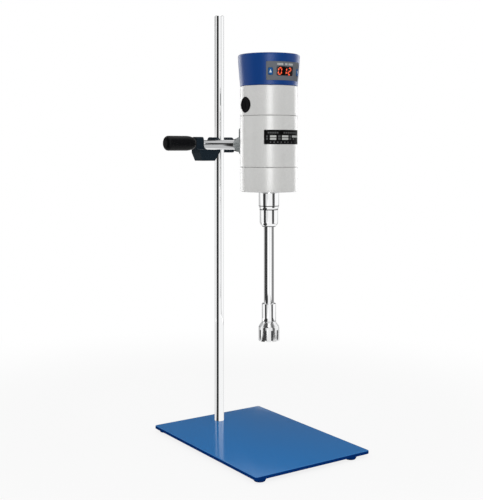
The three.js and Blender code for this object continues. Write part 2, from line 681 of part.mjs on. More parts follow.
function makeHead() {
  const outerTop = casingRadius + head.flare;
  const innerTop = headTop - head.wall;
  const profile = [...headProfile];
  const steps = 4;
  for (let i = 0; i <= steps; i += 1) {
    const angle = (i / steps) * (Math.PI / 2);
    profile.push([
      outerTop - head.round * (1 - Math.cos(angle)),
      headTop - head.round * (1 - Math.sin(angle)),
    ]);
  }
  const inside = [headProfile.at(-1), headProfile[1], headProfile[0]].map(([r, z]) => [r - head.wall, z]);
  profile.push([0, headTop], [0, innerTop], [outerTop - head.round, innerTop], ...inside);

  const bottom = headBottom + panel.bottom;
  const top = bottom + panel.height;
  const angle = panel.halfAngle * radians;
  const lensBottom = headBottom + lens.bottom;
  const lensTop = lensBottom + lens.height;
  const lensAngle = lens.halfAngle * radians;
  const lensTurn = lens.turn * radians;
  const margin = gap / casingRadius;
  const ledge = lens.ledge / casingRadius;
  const recess = headBand(panel.thick + gap, -overrun, bottom - gap, top + gap, angle + margin, facets.small);
  const window = headBand(
    head.wall + overrun, -overrun,
    lensBottom + lens.ledge, lensTop - lens.ledge, lensAngle - ledge, facets.tiny,
  ).rotateZ(lensTurn);
  const reach = outerTop + overrun;
  const keyRoot = casingBore - overrun;
  const keyHoles = Object.values(keyAngles).map((turn) => keyPrism(slip, keyRoot, reach, turn));
  const rockerHole = block(
    -rocker.width / 2 - rocker.frame - gap, rocker.width / 2 + rocker.frame + gap,
    0, reach,
    buttonAxis - rocker.height / 2 - rocker.frame - gap, buttonAxis + rocker.height / 2 + rocker.frame + gap,
  );
  const bossWidth = rocker.width / 2 + rocker.lip + rocker.boss;
  const bossHeight = rocker.height / 2 + rocker.lip + rocker.boss;
  const boss = block(
    -bossWidth, bossWidth, casingRadius - head.wall, outerTop,
    buttonAxis - bossHeight, buttonAxis + bossHeight,
  );
  const cover = shaped(ring(profile, facets.body), [boss], [recess, window, ...keyHoles, rockerHole]);
  addPiece(motor, 'control_head', cover, 'blueCover');

  const opening = headBand(
    panel.thick + overrun, -overrun, lensBottom - gap, lensTop + gap, lensAngle + margin, facets.tiny,
  ).rotateZ(lensTurn);
  const face = headBand(panel.thick, 0, bottom, top, angle, facets.small);
  addPiece(motor, 'head_panel', shaped(face, [], [opening, ...keyHoles]), 'panelGrey');
  const pane = headBand(panel.thick, 0, lensBottom, lensTop, lensAngle, facets.tiny).rotateZ(lensTurn);
  addPiece(motor, 'display_window', pane, 'glass');
  const keyFace = headRadius(buttonAxis) + button.proud;
  for (const [name, turn] of Object.entries(keyAngles)) {
    addPiece(motor, name, keyPrism(0, keyFace - button.depth, keyFace, turn), 'keyBlue');
  }
}

// Circuit board behind the panel, as wide as the head lets it be, with the digits' module on it
function makeElectronics() {
  const faceY = -(casingRadius - board.setBack);
  const [bottom, top] = [headBottom + board.bottom, headBottom + board.bottom + board.height];
  const clear = headRadius(bottom) - head.wall - room;
  const halfWidth = Math.sqrt(clear * clear - faceY * faceY);
  const card = block(-halfWidth, halfWidth, faceY, faceY + board.thick, bottom, top);
  addPiece(motor, 'control_board', card, 'circuit');
  const middle = headBottom + lens.bottom + lens.height / 2;
  const side = casingRadius * Math.sin(lens.turn * radians);
  const module = block(
    side - digits.width / 2, side + digits.width / 2, faceY - gap - digits.depth, faceY - gap,
    middle - digits.height / 2, middle + digits.height / 2,
  );
  addPiece(motor, 'display_module', module, 'black');
}

// Rocker switch and cord gland at the rear
function makeRearFittings() {
  const [halfWidth, halfHeight] = [rocker.width / 2, rocker.height / 2];
  const outerFace = casingRadius + head.flare + gap;
  const bodyFront = outerFace + rocker.flange;
  const frameBlock = block(
    -halfWidth - rocker.frame, halfWidth + rocker.frame, outerFace - rocker.depth, bodyFront,
    -halfHeight - rocker.frame, halfHeight + rocker.frame,
  );
  const lip = block(
    -halfWidth - rocker.lip, halfWidth + rocker.lip, outerFace, bodyFront,
    -halfHeight - rocker.lip, halfHeight + rocker.lip,
  );
  const well = block(
    -halfWidth - gap, halfWidth + gap, outerFace - rocker.depth + rocker.floor, bodyFront + overrun,
    -halfHeight - room, halfHeight + room,
  );
  const frameBody = shaped(frameBlock, [lip], [well]).translate(0, 0, buttonAxis);
  addPiece(motor, 'rocker_frame', frameBody, 'black');

  const pivot = bodyFront - rocker.depth / 2;
  const rise = rocker.depth / 2 + rocker.proud;
  const lean = halfHeight * Math.tan(rocker.tilt * radians);
  const shoulder = halfHeight - rocker.proud / 2;
  const body = outline([
    [-rocker.floor, -halfHeight / 2],
    [rise - lean, -shoulder],
    [rise - lean * rocker.dip, 0],
    [rise - lean, shoulder],
    [-rocker.floor, halfHeight / 2],
  ]);
  const key = alongX(prism(body, -halfWidth, halfWidth)).rotateX(-rocker.tilt * radians);
  key.translate(0, pivot, buttonAxis);
  addPiece(motor, 'rocker_switch', key, 'black');

  const [tubeRadius, nutRadius, boreRadius] = [gland.diameter / 2, gland.nut / 2, gland.bore / 2];
  const tip = casingRadius + gland.proud;
  const seat = casingRadius + gap;
  const fitting = alongY(ring([
    [boreRadius, tip - gland.length],
    [tubeRadius, tip - gland.length],
    [tubeRadius, seat],
    [nutRadius, seat],
    [nutRadius, seat + gland.nutThick],
    [tubeRadius, seat + gland.nutThick],
    [boreRadius + gland.flare, tip],
    [boreRadius, tip],
  ], facets.small)).translate(0, 0, glandAxis);
  addPiece(motor, 'cable_gland', fitting, 'black');
}

// Stationary inside: stator with two coils, bearing bridge, bearings, tie bolts and brush gear
const boltPlaces = [-bolt.spread, bolt.spread];

function boltHoles(bottom, top) {
  return boltPlaces.map((y) => disc(bolt.diameter / 2 + gap, bottom, top, facets.tiny).translate(0, y, 0));
}

function makeStator() {
  const outer = casingBore - gap;
  const body = ring([
    [stator.bore / 2, statorBottom],
    [outer, statorBottom],
    [outer, statorTop],
    [stator.bore / 2, statorTop],
  ], facets.body);
  const [low, high] = [statorBottom - overrun, statorTop + overrun];
  const pockets = [];
  for (const sx of [-1, 1]) {
    for (const sy of [-1, 1]) {
      const [near, far] = [coil.inner, coil.inner + coil.thick];
      const [from, to] = [coil.slotNear, coil.slotNear + coil.slotWide];
      pockets.push(block(
        Math.min(sx * near, sx * far), Math.max(sx * near, sx * far),
        Math.min(sy * from, sy * to), Math.max(sy * from, sy * to), low, high,
      ));
    }
  }
  addPiece(motor, 'stator_core', shaped(body, [], [...pockets, ...boltHoles(low, high)]), 'steel');

  const [inner, outerFace] = [coil.inner + gap, coil.inner + coil.thick - gap];
  const [hole, edge] = [coil.slotNear + gap, coil.slotNear + coil.slotWide - gap];
  const [bottom, top] = [statorBottom - coil.overhang, statorTop + coil.overhang];
  for (const [name, sx] of [['field_coil_left', -1], ['field_coil_right', 1]]) {
    const [x0, x1] = sx < 0 ? [-outerFace, -inner] : [inner, outerFace];
    const frame = block(x0, x1, -edge, edge, bottom, top);
    const window = block(x0 - overrun, x1 + overrun, -hole, hole, statorBottom - gap, statorTop + gap);
    addPiece(motor, name, shaped(frame, [], [window]), 'copper');
  }
}

function bearingBody(bottom) {
  const [inner, outer, step] = [shaft.diameter / 2 + gap, bearing.diameter / 2, bearing.step];
  const [ringIn, ringOut] = [inner + bearing.race, outer - bearing.race];
  const top = bottom + bearing.height;
  return ring([
    [inner, bottom],
    [ringIn, bottom],
    [ringIn, bottom + step],
    [ringOut, bottom + step],
    [ringOut, bottom],
    [outer, bottom],
    [outer, top],
    [ringOut, top],
    [ringOut, top - step],
    [ringIn, top - step],
    [ringIn, top],
    [inner, top],
  ], facets.inner);
}

function makeBridgeAndBearings() {
  const outer = casingBore - gap;
  const pocket = bearing.diameter / 2 + gap;
  const seat = bridgeBottom + bridge.thick - bearing.step;
  const rim = seat + gap + bearing.height;
  const body = ring([
    [bridge.hole / 2, bridgeBottom],
    [outer, bridgeBottom],
    [outer, bridgeBottom + bridge.thick],
    [bridge.hub / 2, bridgeBottom + bridge.thick],
    [bridge.hub / 2, rim],
    [pocket, rim],
    [pocket, seat],
    [bridge.hole / 2, seat],
  ], facets.body);
  const holderTop = brushAxis + brush.height / 2 + gap + brush.holderWall;
  const half = bridge.blockWidth / 2;
  const blocks = [-1, 1].map((sx) => {
    const [from, to] = [sx * bridge.blockInner, sx * (outer - overrun)];
    return block(
      Math.min(from, to), Math.max(from, to), -half, half, holderTop + gap, bridgeBottom + bridge.thick / 2,
    );
  });
  const holes = boltHoles(bridgeBottom - overrun, bridgeBottom + bridge.thick + overrun);
  addPiece(motor, 'bearing_bridge', shaped(body, blocks, holes), 'steel');
  addPiece(motor, 'upper_bearing', bearingBody(seat + gap), 'steel');
  addPiece(motor, 'lower_bearing', bearingBody(bearingSeat + gap), 'steel');

  const [shank, wide] = [bolt.diameter / 2, bolt.head / 2];
  const under = bridgeBottom + bridge.thick + gap;
  boltPlaces.forEach((y, index) => {
    const profile = [
      [0, nose.floor - bolt.depth],
      [shank, nose.floor - bolt.depth],
      [shank, under],
      [wide, under],
      [wide, under + bolt.headThick],
      [0, under + bolt.headThick],
    ];
    addPiece(motor, `tie_bolt_${index + 1}`, turned(profile, facets.tiny).translate(0, y, 0), 'steel');
  });
}

// A helix as a path for the spring's wire
class Helix extends THREE.Curve {
  constructor(radius, length, turns) {
    super();
    Object.assign(this, { radius, length, turns });
  }

  getPoint(t, target = new THREE.Vector3()) {
    const angle = t * this.turns * Math.PI * 2;
    return target.set(this.radius * Math.cos(angle), this.radius * Math.sin(angle), this.length * t);
  }
}

function makeBrushGear() {
  const [halfWide, halfHigh] = [brush.width / 2, brush.height / 2];
  const contact = commutator.diameter / 2 + slip;
  const brushEnd = contact + brush.length;
  const capInner = casingRadius + brushCap.proud - brushCap.length;
  const holderEnd = capInner - gap;
  const wire = spring.wire / 2;
  for (const [side, turn] of [['right', 0], ['left', Math.PI]]) {
    const place = (geometry) => geometry.rotateZ(turn).translate(0, 0, brushAxis);
    const outer = [halfWide + gap + brush.holderWall, halfHigh + gap + brush.holderWall];
    const body = block(brush.holderInner, holderEnd, -outer[0], outer[0], -outer[1], outer[1]);
    const bore = block(
      brush.holderInner - overrun, holderEnd + overrun,
      -halfWide - gap, halfWide + gap, -halfHigh - gap, halfHigh + gap,
    );
    addPiece(motor, `brush_holder_${side}`, place(shaped(body, [], [bore])), 'brass');
    const carbon = block(contact, brushEnd, -halfWide, halfWide, -halfHigh, halfHigh);
    addPiece(motor, `carbon_brush_${side}`, place(carbon), 'carbon');

    const springStart = brushEnd + wire + gap;
    const path = new Helix(spring.diameter / 2, capInner - wire - gap - springStart, spring.turns);
    const coilBody = new THREE.ExtrudeGeometry(polygon(facets.wire, wire), {
      steps: spring.turns * facets.tiny, bevelEnabled: false, extrudePath: path,
    });
    addPiece(motor, `brush_spring_${side}`, place(alongX(coilBody).translate(springStart, 0, 0)), 'steel');

    const edge = brushCap.edge;
    const capOuter = capInner + brushCap.length;
    const cap = alongX(turned([
      [0, capInner],
      [brushCap.diameter / 2, capInner],
      [brushCap.diameter / 2, capOuter - edge],
      [brushCap.diameter / 2 - edge, capOuter],
      [0, capOuter],
    ], facets.medium));
    addPiece(motor, `brush_cap_${side}`, place(cap), 'black');
  }
}

// Turning inside: shaft, fan, armature and commutator
function spokes(count, make) {
  return Array.from({ length: count }, (_, i) => make().rotateZ((i / count) * Math.PI * 2));
}

function makeRotorTrain() {
  const radius = shaft.diameter / 2;
  const hub = radius + gap;
  const top = bridgeBottom + bridge.thick + bearing.height;
  addPiece(motor, 'motor_shaft', disc(radius, -shaft.below, top, facets.small), 'steel');

  const fanBottom = fan.rise;
  const fanBody = ring([
    [hub, fanBottom],
    [fan.diameter / 2, fanBottom],
    [fan.diameter / 2, fanBottom + fan.web],
    [fan.hub / 2, fanBottom + fan.web],
    [fan.hub / 2, fanBottom + fan.web + fan.blade],
    [hub, fanBottom + fan.web + fan.blade],
  ], facets.inner);
  const blades = spokes(fan.blades, () => block(
    fan.hub / 2 - room, fan.diameter / 2, -fan.bladeThick / 2, fan.bladeThick / 2,
    fanBottom + fan.web / 2, fanBottom + fan.web + fan.blade,
  ));
  addPiece(motor, 'cooling_fan', shaped(fanBody, blades), 'black');

  const coreRadius = armature.diameter / 2;
  const core = ring([
    [hub, armatureBottom],
    [coreRadius, armatureBottom],
    [coreRadius, armatureTop],
    [hub, armatureTop],
  ], facets.body);
  const slots = spokes(armature.slots, () => block(
    coreRadius - armature.slotDepth, coreRadius + overrun, -armature.slotWidth / 2, armature.slotWidth / 2,
    armatureBottom - overrun, armatureTop + overrun,
  ));
  addPiece(motor, 'armature_core', shaped(core, [], slots), 'steel');

  const [windingOuter, windingInner] = [winding.diameter / 2, winding.inner / 2];
  const endTurn = (bottom, end) => ring([
    [windingInner, bottom],
    [windingOuter, bottom],
    [windingOuter, end],
    [windingInner, end],
  ], facets.inner);
  const lower = endTurn(armatureBottom - winding.overhang, armatureBottom - gap);
  const upper = endTurn(armatureTop + gap, armatureTop + winding.overhang);
  const barHalf = armature.slotWidth / 2 - gap;
  const bars = spokes(armature.slots, () => block(
    windingOuter - winding.barDepth, windingOuter - gap, -barHalf, barHalf,
    armatureBottom - winding.overhang / 2, armatureTop + winding.overhang / 2,
  ));
  addPiece(motor, 'armature_winding', shaped(lower, [upper, ...bars]), 'copper');

  const commutatorTop = bridgeBottom - overrun;
  const commutatorBottom = commutatorTop - commutator.length;
  const barrel = ring([
    [hub, commutatorBottom - commutator.riserLength],
    [commutator.riser / 2, commutatorBottom - commutator.riserLength],
    [commutator.riser / 2, commutatorBottom],
    [commutator.diameter / 2, commutatorBottom],
    [commutator.diameter / 2, commutatorTop],
    [hub, commutatorTop],
  ], facets.inner);
  const grooves = spokes(commutator.bars, () => block(
    commutator.diameter / 2 - commutator.cutDepth, commutator.diameter / 2 + overrun,
    -commutator.cut / 2, commutator.cut / 2, commutatorBottom, commutatorTop + overrun,
  ));
  addPiece(motor, 'commutator', shaped(barrel, [], grooves), 'copper');
}

// Tool: fixed sleeve, lock collar, tube with its bushes, drive shaft, ferrule, stator and rotor
function makeSleeve() {
  const diameters = [sleeve.diameter, sleeve.bore, sleeve.neck, sleeve.thread];
  const [outer, bore, neck, thread] = diameters.map((diameter) => diameter / 2);
  const edge = casing.chamfer;
  addPiece(motor, 'coupling_sleeve', ring([
    [bore, nose.recessDepth - gap],
    [bore, threadBottom],
    [thread, threadBottom],
    [thread, collarTop],
    [neck, collarTop],
    [neck, sleeveBottom],
    [outer - edge, sleeveBottom],
    [outer, sleeveBottom + edge],
    [outer, -gap],
    [nose.recess / 2 - gap, -gap],
    [nose.recess / 2 - gap, nose.recessDepth - gap],
  ], facets.medium), 'chrome');
}

function makeCollar() {
  const [outer, lip] = [collar.diameter / 2, collar.lip / 2];
  const inside = sleeve.thread / 2 + slip;
  const top = collarTop - gap;
  const bottom = top - collar.length;
  const edge = casing.chamfer;
  addPiece(motor, 'lock_collar', ring([
    [inside, top],
    [inside, flangeBottom - gap],
    [tube.diameter / 2 + slip, flangeBottom - gap],
    [tube.diameter / 2 + slip, bottom],
    [lip, bottom],
    [lip + (outer - lip) * collar.bulge, bottom + collar.taper * (1 - collar.bulge)],
    [outer, bottom + collar.taper],
    [outer, top - edge],
    [outer - edge, top],
  ], facets.medium), 'chrome');
}

function makeToolTube() {
  const [outer, wide] = [tube.diameter / 2, tube.flange / 2];
  const inner = outer - tube.wall;
  addPiece(motor, 'tool_tube', ring([
    [inner, -tube.end],
    [outer, -tube.end],
    [outer, flangeBottom],
    [wide, flangeBottom],
    [wide, flangeTop],
    [inner, flangeTop],
  ], facets.medium), 'chrome');
  const bushBody = (bottom) => ring([
    [drive.diameter / 2 + bush.running, bottom],
    [inner - gap, bottom],
    [inner - gap, bottom + bush.length],
    [drive.diameter / 2 + bush.running, bottom + bush.length],
  ], facets.small);
  addPiece(motor, 'upper_bush', bushBody(-bush.upper - bush.length), 'ivory');
  addPiece(motor, 'lower_bush', bushBody(-tube.end), 'ivory');
}

function hexagon(flats) {
  return polygon(6, flats / 2 / Math.cos(Math.PI / 6));
}

function makeDrive() {
  const couplingTop = -coupling.top;
  const couplingBottom = couplingTop - coupling.length;
  const body = disc(coupling.diameter / 2, couplingBottom, couplingTop, facets.small);
  const shaftRoom = shaft.diameter / 2 + gap;
  const round = disc(shaftRoom, couplingTop - coupling.socket, couplingTop + overrun, facets.small);
  const hex = prism(hexagon(drive.hex + room), couplingBottom - overrun, couplingTop - overrun);
  addPiece(motor, 'drive_coupling', shaped(body, [], [round, hex]), 'steel');

  const hexEnd = prism(hexagon(drive.hex), -drive.top - drive.hexLength, -drive.top);
  const rodBody = disc(drive.diameter / 2, -drive.end, -drive.top - drive.hexLength + overrun, facets.small);
  addPiece(motor, 'drive_shaft', shaped(hexEnd, [rodBody]), 'steel');
}

function makeFerrule() {
  const [outer, spigot] = [ferrule.diameter / 2, ferrule.spigot / 2];
  const seat = -tube.end - gap;
  const bottom = ferruleTop - ferrule.length;
  addPiece(motor, 'tool_ferrule', ring([
    [tube.diameter / 2 + gap, ferruleTop],
    [tube.diameter / 2 + gap, seat],
    [drivePassage, seat],
    [drivePassage, bottom - ferrule.spigotLength],
    [spigot, bottom - ferrule.spigotLength],
    [spigot, bottom],
    [outer, bottom],
    [outer, ferruleTop - ferrule.edge],
    [outer - ferrule.edge, ferruleTop],
  ], facets.medium), 'chrome');
}

function makeRotorStator() {
  const bottom = crownTop - crown.length;
  const slotTop = bottom + crownSlot.height;
  const roof = crownTop - ferrule.spigotLength - crownSlot.roof;
  const [outer, neck, bore] = [crown.diameter / 2, ferrule.diameter / 2, crown.bore / 2];
  const floor = crownTop - ferrule.spigotLength;
  const body = ring([
    [ferrule.spigot / 2 + gap, crownTop],
    [ferrule.spigot / 2 + gap, floor],
    [drivePassage, floor],
    [drivePassage, roof],
    [bore, roof],
    [bore, bottom],
    [outer, bottom],
    [outer, crownTop - crown.neckLength - crown.flareLength - crown.neckLength],
    [outer - gap, crownTop - crown.neckLength - crown.flareLength],
    [neck, crownTop - crown.neckLength],
    [neck, crownTop],
  ], facets.crown);
  const slots = spokes(crown.teeth, () => block(
    bore - overrun, outer + overrun, -crownSlot.width / 2, crownSlot.width / 2, bottom - overrun, slotTop,
  ));
  addPiece(motor, 'stator_head', shaped(body, [], slots), 'chrome');

  const rotorRadius = bore - rotor.clearance;
  const rotorBottom = bottom + rotor.lift;
  const rotorTop = roof - rotor.lift;
  const webBottom = rotorTop - rotor.web;
  const cup = turned([
    [0, rotorBottom + rotor.base],
    [rotor.hub / 2, rotorBottom + rotor.base],
    [rotor.hub / 2, webBottom],
    [rotorRadius - rotor.wall, webBottom],
    [rotorRadius - rotor.wall, rotorBottom],
    [rotorRadius, rotorBottom],
    [rotorRadius, rotorTop],
    [0, rotorTop],
  ], facets.medium);
  const teeth = spokes(rotor.slots, () => block(
    rotorRadius - rotor.wall - overrun / 2, rotorRadius + overrun,
    -rotor.slotWidth / 2, rotor.slotWidth / 2, rotorBottom - overrun, webBottom,
  ));
  const shaftBore = disc(drive.diameter / 2 + gap, -drive.end - gap, rotorTop + overrun, facets.small);
  addPiece(motor, 'rotor_head', shaped(cup, [], [...teeth, shaftBore]), 'steel');
}

makeBasePlate();
makeSupportRod();
makeClampScrews(makeBossHead());
makeArmRod();
makeArmBracket();
makeNose();
makeShell();
makeBrushHousing();
makeHead();
makeElectronics();
makeRearFittings();
makeStator();
makeBridgeAndBearings();
makeBrushGear();
makeRotorTrain();
makeSleeve();
makeCollar();
makeToolTube();
makeDrive();
makeFerrule();
makeRotorStator();

export default homogenizer;
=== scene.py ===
import json
import math

import bmesh
import bpy
from mathutils import Matrix, Vector


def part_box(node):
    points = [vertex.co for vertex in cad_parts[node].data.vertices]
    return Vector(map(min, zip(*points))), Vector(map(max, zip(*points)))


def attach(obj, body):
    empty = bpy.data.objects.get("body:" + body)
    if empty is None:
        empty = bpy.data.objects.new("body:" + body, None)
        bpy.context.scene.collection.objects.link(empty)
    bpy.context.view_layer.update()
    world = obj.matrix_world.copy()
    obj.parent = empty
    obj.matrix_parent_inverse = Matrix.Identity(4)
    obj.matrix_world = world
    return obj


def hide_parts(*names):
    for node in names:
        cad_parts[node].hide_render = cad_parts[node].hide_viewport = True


# Looks of a laboratory homogenizer on a plate stand. Piece sizes are in millimetres.
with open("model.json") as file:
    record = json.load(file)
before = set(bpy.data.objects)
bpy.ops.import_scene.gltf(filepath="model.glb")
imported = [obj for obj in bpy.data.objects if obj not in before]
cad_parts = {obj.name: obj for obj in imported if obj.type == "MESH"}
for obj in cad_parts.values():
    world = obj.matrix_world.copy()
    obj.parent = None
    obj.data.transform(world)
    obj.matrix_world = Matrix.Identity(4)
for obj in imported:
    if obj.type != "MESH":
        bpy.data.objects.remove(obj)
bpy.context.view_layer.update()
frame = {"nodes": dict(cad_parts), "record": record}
mm = 0.001
gap = 0.3  # clearance between two pieces, in millimetres
closeGap = 0.05  # the same where one rests on the other
over = 2  # how far a cutter reaches past what it cuts
lap = 2  # how far united forms reach into each other
wrapStep = 1.2  # length of the facets of a form bent round the casing


# A dictionary of sizes whose values are also read as names
class Sizes(dict):
    __getattr__ = dict.__getitem__


bodyOf = {node: body for body, nodes in frame["record"]["behaviour"]["bodies"].items() for node in nodes}
slotOf = {part["node"]: part["material_slot"] for part in frame["record"]["subparts"]}


def centreOf(node):
    low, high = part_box(node)
    return (low + high) / 2


# Places that the pieces are built about
toolCentre = centreOf("tool_tube")
rodCentre = centreOf("support_rod")
motorPlace = Matrix.Translation((toolCentre.x, toolCentre.y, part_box("nose_housing")[0].z))
rodPlace = Matrix.Translation((rodCentre.x, rodCentre.y, 0))
clampPlace = Matrix.Translation((rodCentre.x, rodCentre.y, centreOf("arm_rod").z))
standPlace = Matrix.Identity(4)
alongX = Matrix(((0, 0, 1, 0), (1, 0, 0, 0), (0, 1, 0, 0), (0, 0, 0, 1)))  # Z of a form to X
alongY = Matrix.Rotation(math.radians(-90), 4, "X")  # Z of a form to Y
toFront = Matrix.Rotation(math.radians(90), 4, "X")  # Z of a form to the front
turnBack = Matrix.Rotation(math.pi, 4, "Z")


def shifted(x=0, y=0, z=0):
    return Matrix.Translation((x * mm, y * mm, z * mm))


# Meshes are made in place, in metres, from points in millimetres
def addObject(name, mesh):
    piece = bpy.data.objects.new(name, mesh)
    bpy.context.scene.collection.objects.link(piece)
    return piece


def opened(*meshes):
    work = bmesh.new()
    for mesh in meshes:
        work.from_mesh(mesh)
    return work


def written(work, mesh):
    work.to_mesh(mesh)
    work.free()
    return mesh


def tidyMesh(mesh, sharpAngle=32):
    work = opened(mesh)
    bmesh.ops.remove_doubles(work, verts=work.verts, dist=2e-6)
    bmesh.ops.dissolve_degenerate(work, edges=work.edges, dist=1e-6)
    bmesh.ops.recalc_face_normals(work, faces=work.faces)
    written(work, mesh)
    mesh.shade_smooth()
    mesh.set_sharp_from_angle(angle=math.radians(sharpAngle))
    return mesh


def meshFrom(points, faces, place=None):
    mesh = bpy.data.meshes.new("form")
    mesh.from_pydata([Vector(point) * mm for point in points], [], faces)
    if place is not None:
        mesh.transform(place)
    return tidyMesh(mesh)


# An outline with its corners rounded; a third number gives a corner its own radius
def eased(outline, radius, closed=True, steps=4):
    result = []
    count = len(outline)
    for index, entry in enumerate(outline):
        corner = Vector(entry[:2])
        wanted = entry[2] if len(entry) > 2 else radius
        if wanted <= 0 or (not closed and index in (0, count - 1)):
            result.append(corner)
            continue
        before = Vector(outline[index - 1][:2]) - corner
        after = Vector(outline[(index + 1) % count][:2]) - corner
        angle = before.angle(after)
        if angle > math.radians(176):
            result.append(corner)
            continue
        reach = min(wanted / math.tan(angle / 2), before.length * 0.48, after.length * 0.48)
        fitted = reach * math.tan(angle / 2)
        middle = corner + (before.normalized() + after.normalized()).normalized() * fitted / math.sin(angle / 2)
        start = corner + before.normalized() * reach - middle
        end = corner + after.normalized() * reach - middle
        sweep = start.angle(end)
        for step in range(steps + 1):
            share = step / steps
            pull = (start * math.sin((1 - share) * sweep) + end * math.sin(share * sweep)) / math.sin(sweep)
            result.append(middle + pull)
    return result


# A form turned on Z; its outline starts and ends on the axis, or is a closed ring off it
def turned(outline, place, radius=0.4, facets=128, steps=4):
    ring = outline[0][0] > 0
    points, rows, faces = [], [], []
    for r, z in eased(outline, radius, ring, steps):
        if r < 1e-6:
            rows.append([len(points)] * facets)
            points.append((0, 0, z))
            continue
        rows.append([len(points) + i for i in range(facets)])
        for i in range(facets):
            angle = 2 * math.pi * i / facets
            points.append((r * math.cos(angle), r * math.sin(angle), z))
    pairs = list(zip(rows, rows[1:])) + ([(rows[-1], rows[0])] if ring else [])
    for low, high in pairs:
        for i in range(facets):
            j = (i + 1) % facets
            corners = []
            for corner in (low[i], low[j], high[j], high[i]):
                if corner not in corners:
                    corners.append(corner)
            if len(corners) > 2:
                faces.append(corners)
    return meshFrom(points, faces, place)


# A straight form over an outline in X and Y, from one height to another, with eased edges
def slab(outline, low, high, place=None, edge=0, steps=2):
    count = len(outline)
    points = [(x, y, z) for z in (low, high) for x, y in outline]
    faces = [list(range(count))[::-1], list(range(count, 2 * count))]
    faces += [[i, (i + 1) % count, (i + 1) % count + count, i + count] for i in range(count)]
    mesh = meshFrom(points, faces)
    if edge > 0:
        work = opened(mesh)
        rims = [e for e in work.edges if len(e.link_faces) == 2 and e.calc_face_angle() > math.radians(50)]
        bmesh.ops.bevel(work, geom=rims, offset=edge * mm, segments=steps, profile=0.5, affect="EDGES")
        written(work, mesh)
    if place is not None:
        mesh.transform(place)
    return tidyMesh(mesh)


def box(x0, x1, y0, y1, z0, z1, place=None, edge=0):
    return slab([(x0, y0), (x1, y0), (x1, y1), (x0, y1)], z0, z1, place, edge)


def roundedBox(halfWidth, halfHeight, radius, steps=5):
    corners = [(-halfWidth, -halfHeight), (halfWidth, -halfHeight), (halfWidth, halfHeight), (-halfWidth, halfHeight)]
    return eased(corners, radius, True, steps)


# The plain mesh that an object has after its modifiers
def settled(piece):
    graph = bpy.context.evaluated_depsgraph_get()
    mesh = bpy.data.meshes.new_from_object(piece.evaluated_get(graph))
    bpy.data.objects.remove(piece)
    return mesh


def combined(mesh, others, operation="DIFFERENCE", sharpAngle=32):
    piece = addObject("work", mesh)
    helpers = [addObject("helper", other) for other in others]
    for helper in helpers:
        change = piece.modifiers.new("change", "BOOLEAN")
        change.object = helper
        change.operation = operation
        change.solver = "EXACT"
    result = settled(piece)
    for helper in helpers:
        bpy.data.objects.remove(helper)
    return tidyMesh(result, sharpAngle)


# Lays an outline in X and Z with its depth along Y, for forms that are wrapped
def upright(outline, inner, outer, middleX, middleZ, edge=0):
    place = shifted(middleX, 0, middleZ) @ toFront
    return slab(outline, -outer, -inner, place, edge)


# The outline of a plain cylinder, or of a plain ring
def post(radius, low, high, inner=0):
    return [(inner, low), (radius, low), (radius, high), (inner, high)]


# A place on the motor's axis, at a height above its nose
def onAxis(height, *turns):
    place = motorPlace @ shifted(0, 0, height)
    for turn in turns:
        place = place @ turn
    return place


def middleAndHalf(low, high):
    return (low + high) / 2, (high - low) / 2


# The angles of a quarter turn
def quarter(steps):
    return [math.pi / 2 * step / steps for step in range(steps + 1)]


print("frame loaded")


# Node trees. Gives a node its inputs, and links what is a socket.
def preset(node, inputs):
    for key, value in inputs.items():
        if isinstance(value, bpy.types.NodeSocket):
            node.id_data.links.new(value, node.inputs[key])
        else:
            node.inputs[key].default_value = value
    return node


def put(tree, kind, inputs=None, **settings):
    node = tree.nodes.new(kind)
    for key, value in settings.items():
        setattr(node, key, value)
    return preset(node, inputs or {})


def compute(tree, operation, *values, clamp=False):
    kind = "ShaderNodeMath"
    return put(tree, kind, dict(enumerate(values)), operation=operation, use_clamp=clamp).outputs[0]


def times(tree, first, second):
    return compute(tree, "MULTIPLY", first, second)


def vector(tree, operation, *values):
    node = put(tree, "ShaderNodeVectorMath", dict(enumerate(values)), operation=operation)
    return node.outputs["Value" if operation in ("DOT_PRODUCT", "LENGTH") else "Vector"]


def ranged(tree, value, low, high, first=0.0, last=1.0, smooth=True):
    inputs = {"Value": value, "From Min": low, "From Max": high, "To Min": first, "To Max": last}
    kind = "SMOOTHSTEP" if smooth else "LINEAR"
    return put(tree, "ShaderNodeMapRange", inputs, interpolation_type=kind).outputs[0]


def noise(tree, place, scale, detail, **more):
    inputs = {"Vector": place, "Scale": scale, "Detail": detail, **more}
    return put(tree, "ShaderNodeTexNoise", inputs).outputs["Fac"]


def grouped(tree, group, **inputs):
    return put(tree, "ShaderNodeGroup", inputs, node_tree=group).outputs


# Blends two colours by a share; chosen does the same with two numbers
def blended(tree, share, first, second):
    first, second = [c if isinstance(c, bpy.types.NodeSocket) else (*c, 1) for c in (first, second)]
    inputs = {"Factor": share, 6: first, 7: second}
    return put(tree, "ShaderNodeMix", inputs, data_type="RGBA", clamp_factor=True).outputs[2]


def chosen(tree, share, first, second):
    return put(tree, "ShaderNodeMix", {"Factor": share, 2: first, 3: second}).outputs[0]


# A tree with named sockets: their type follows from the value, or is named when they have none
def newTree(name, kind, inputs, outputs):
    tree = bpy.data.node_groups.new(name, kind)
    types = {int: "Int", float: "Float", tuple: "Vector"}
    for label, value in inputs.items():
        socketType = types.get(type(value), value)
        socket = tree.interface.new_socket(label, in_out="INPUT", socket_type=f"NodeSocket{socketType}")
        if type(value) in types:
            socket.default_value = value
    for label, socketType in outputs.items():
        tree.interface.new_socket(label, in_out="OUTPUT", socket_type=f"NodeSocket{socketType}")
    return tree, put(tree, "NodeGroupInput").outputs, put(tree, "NodeGroupOutput")


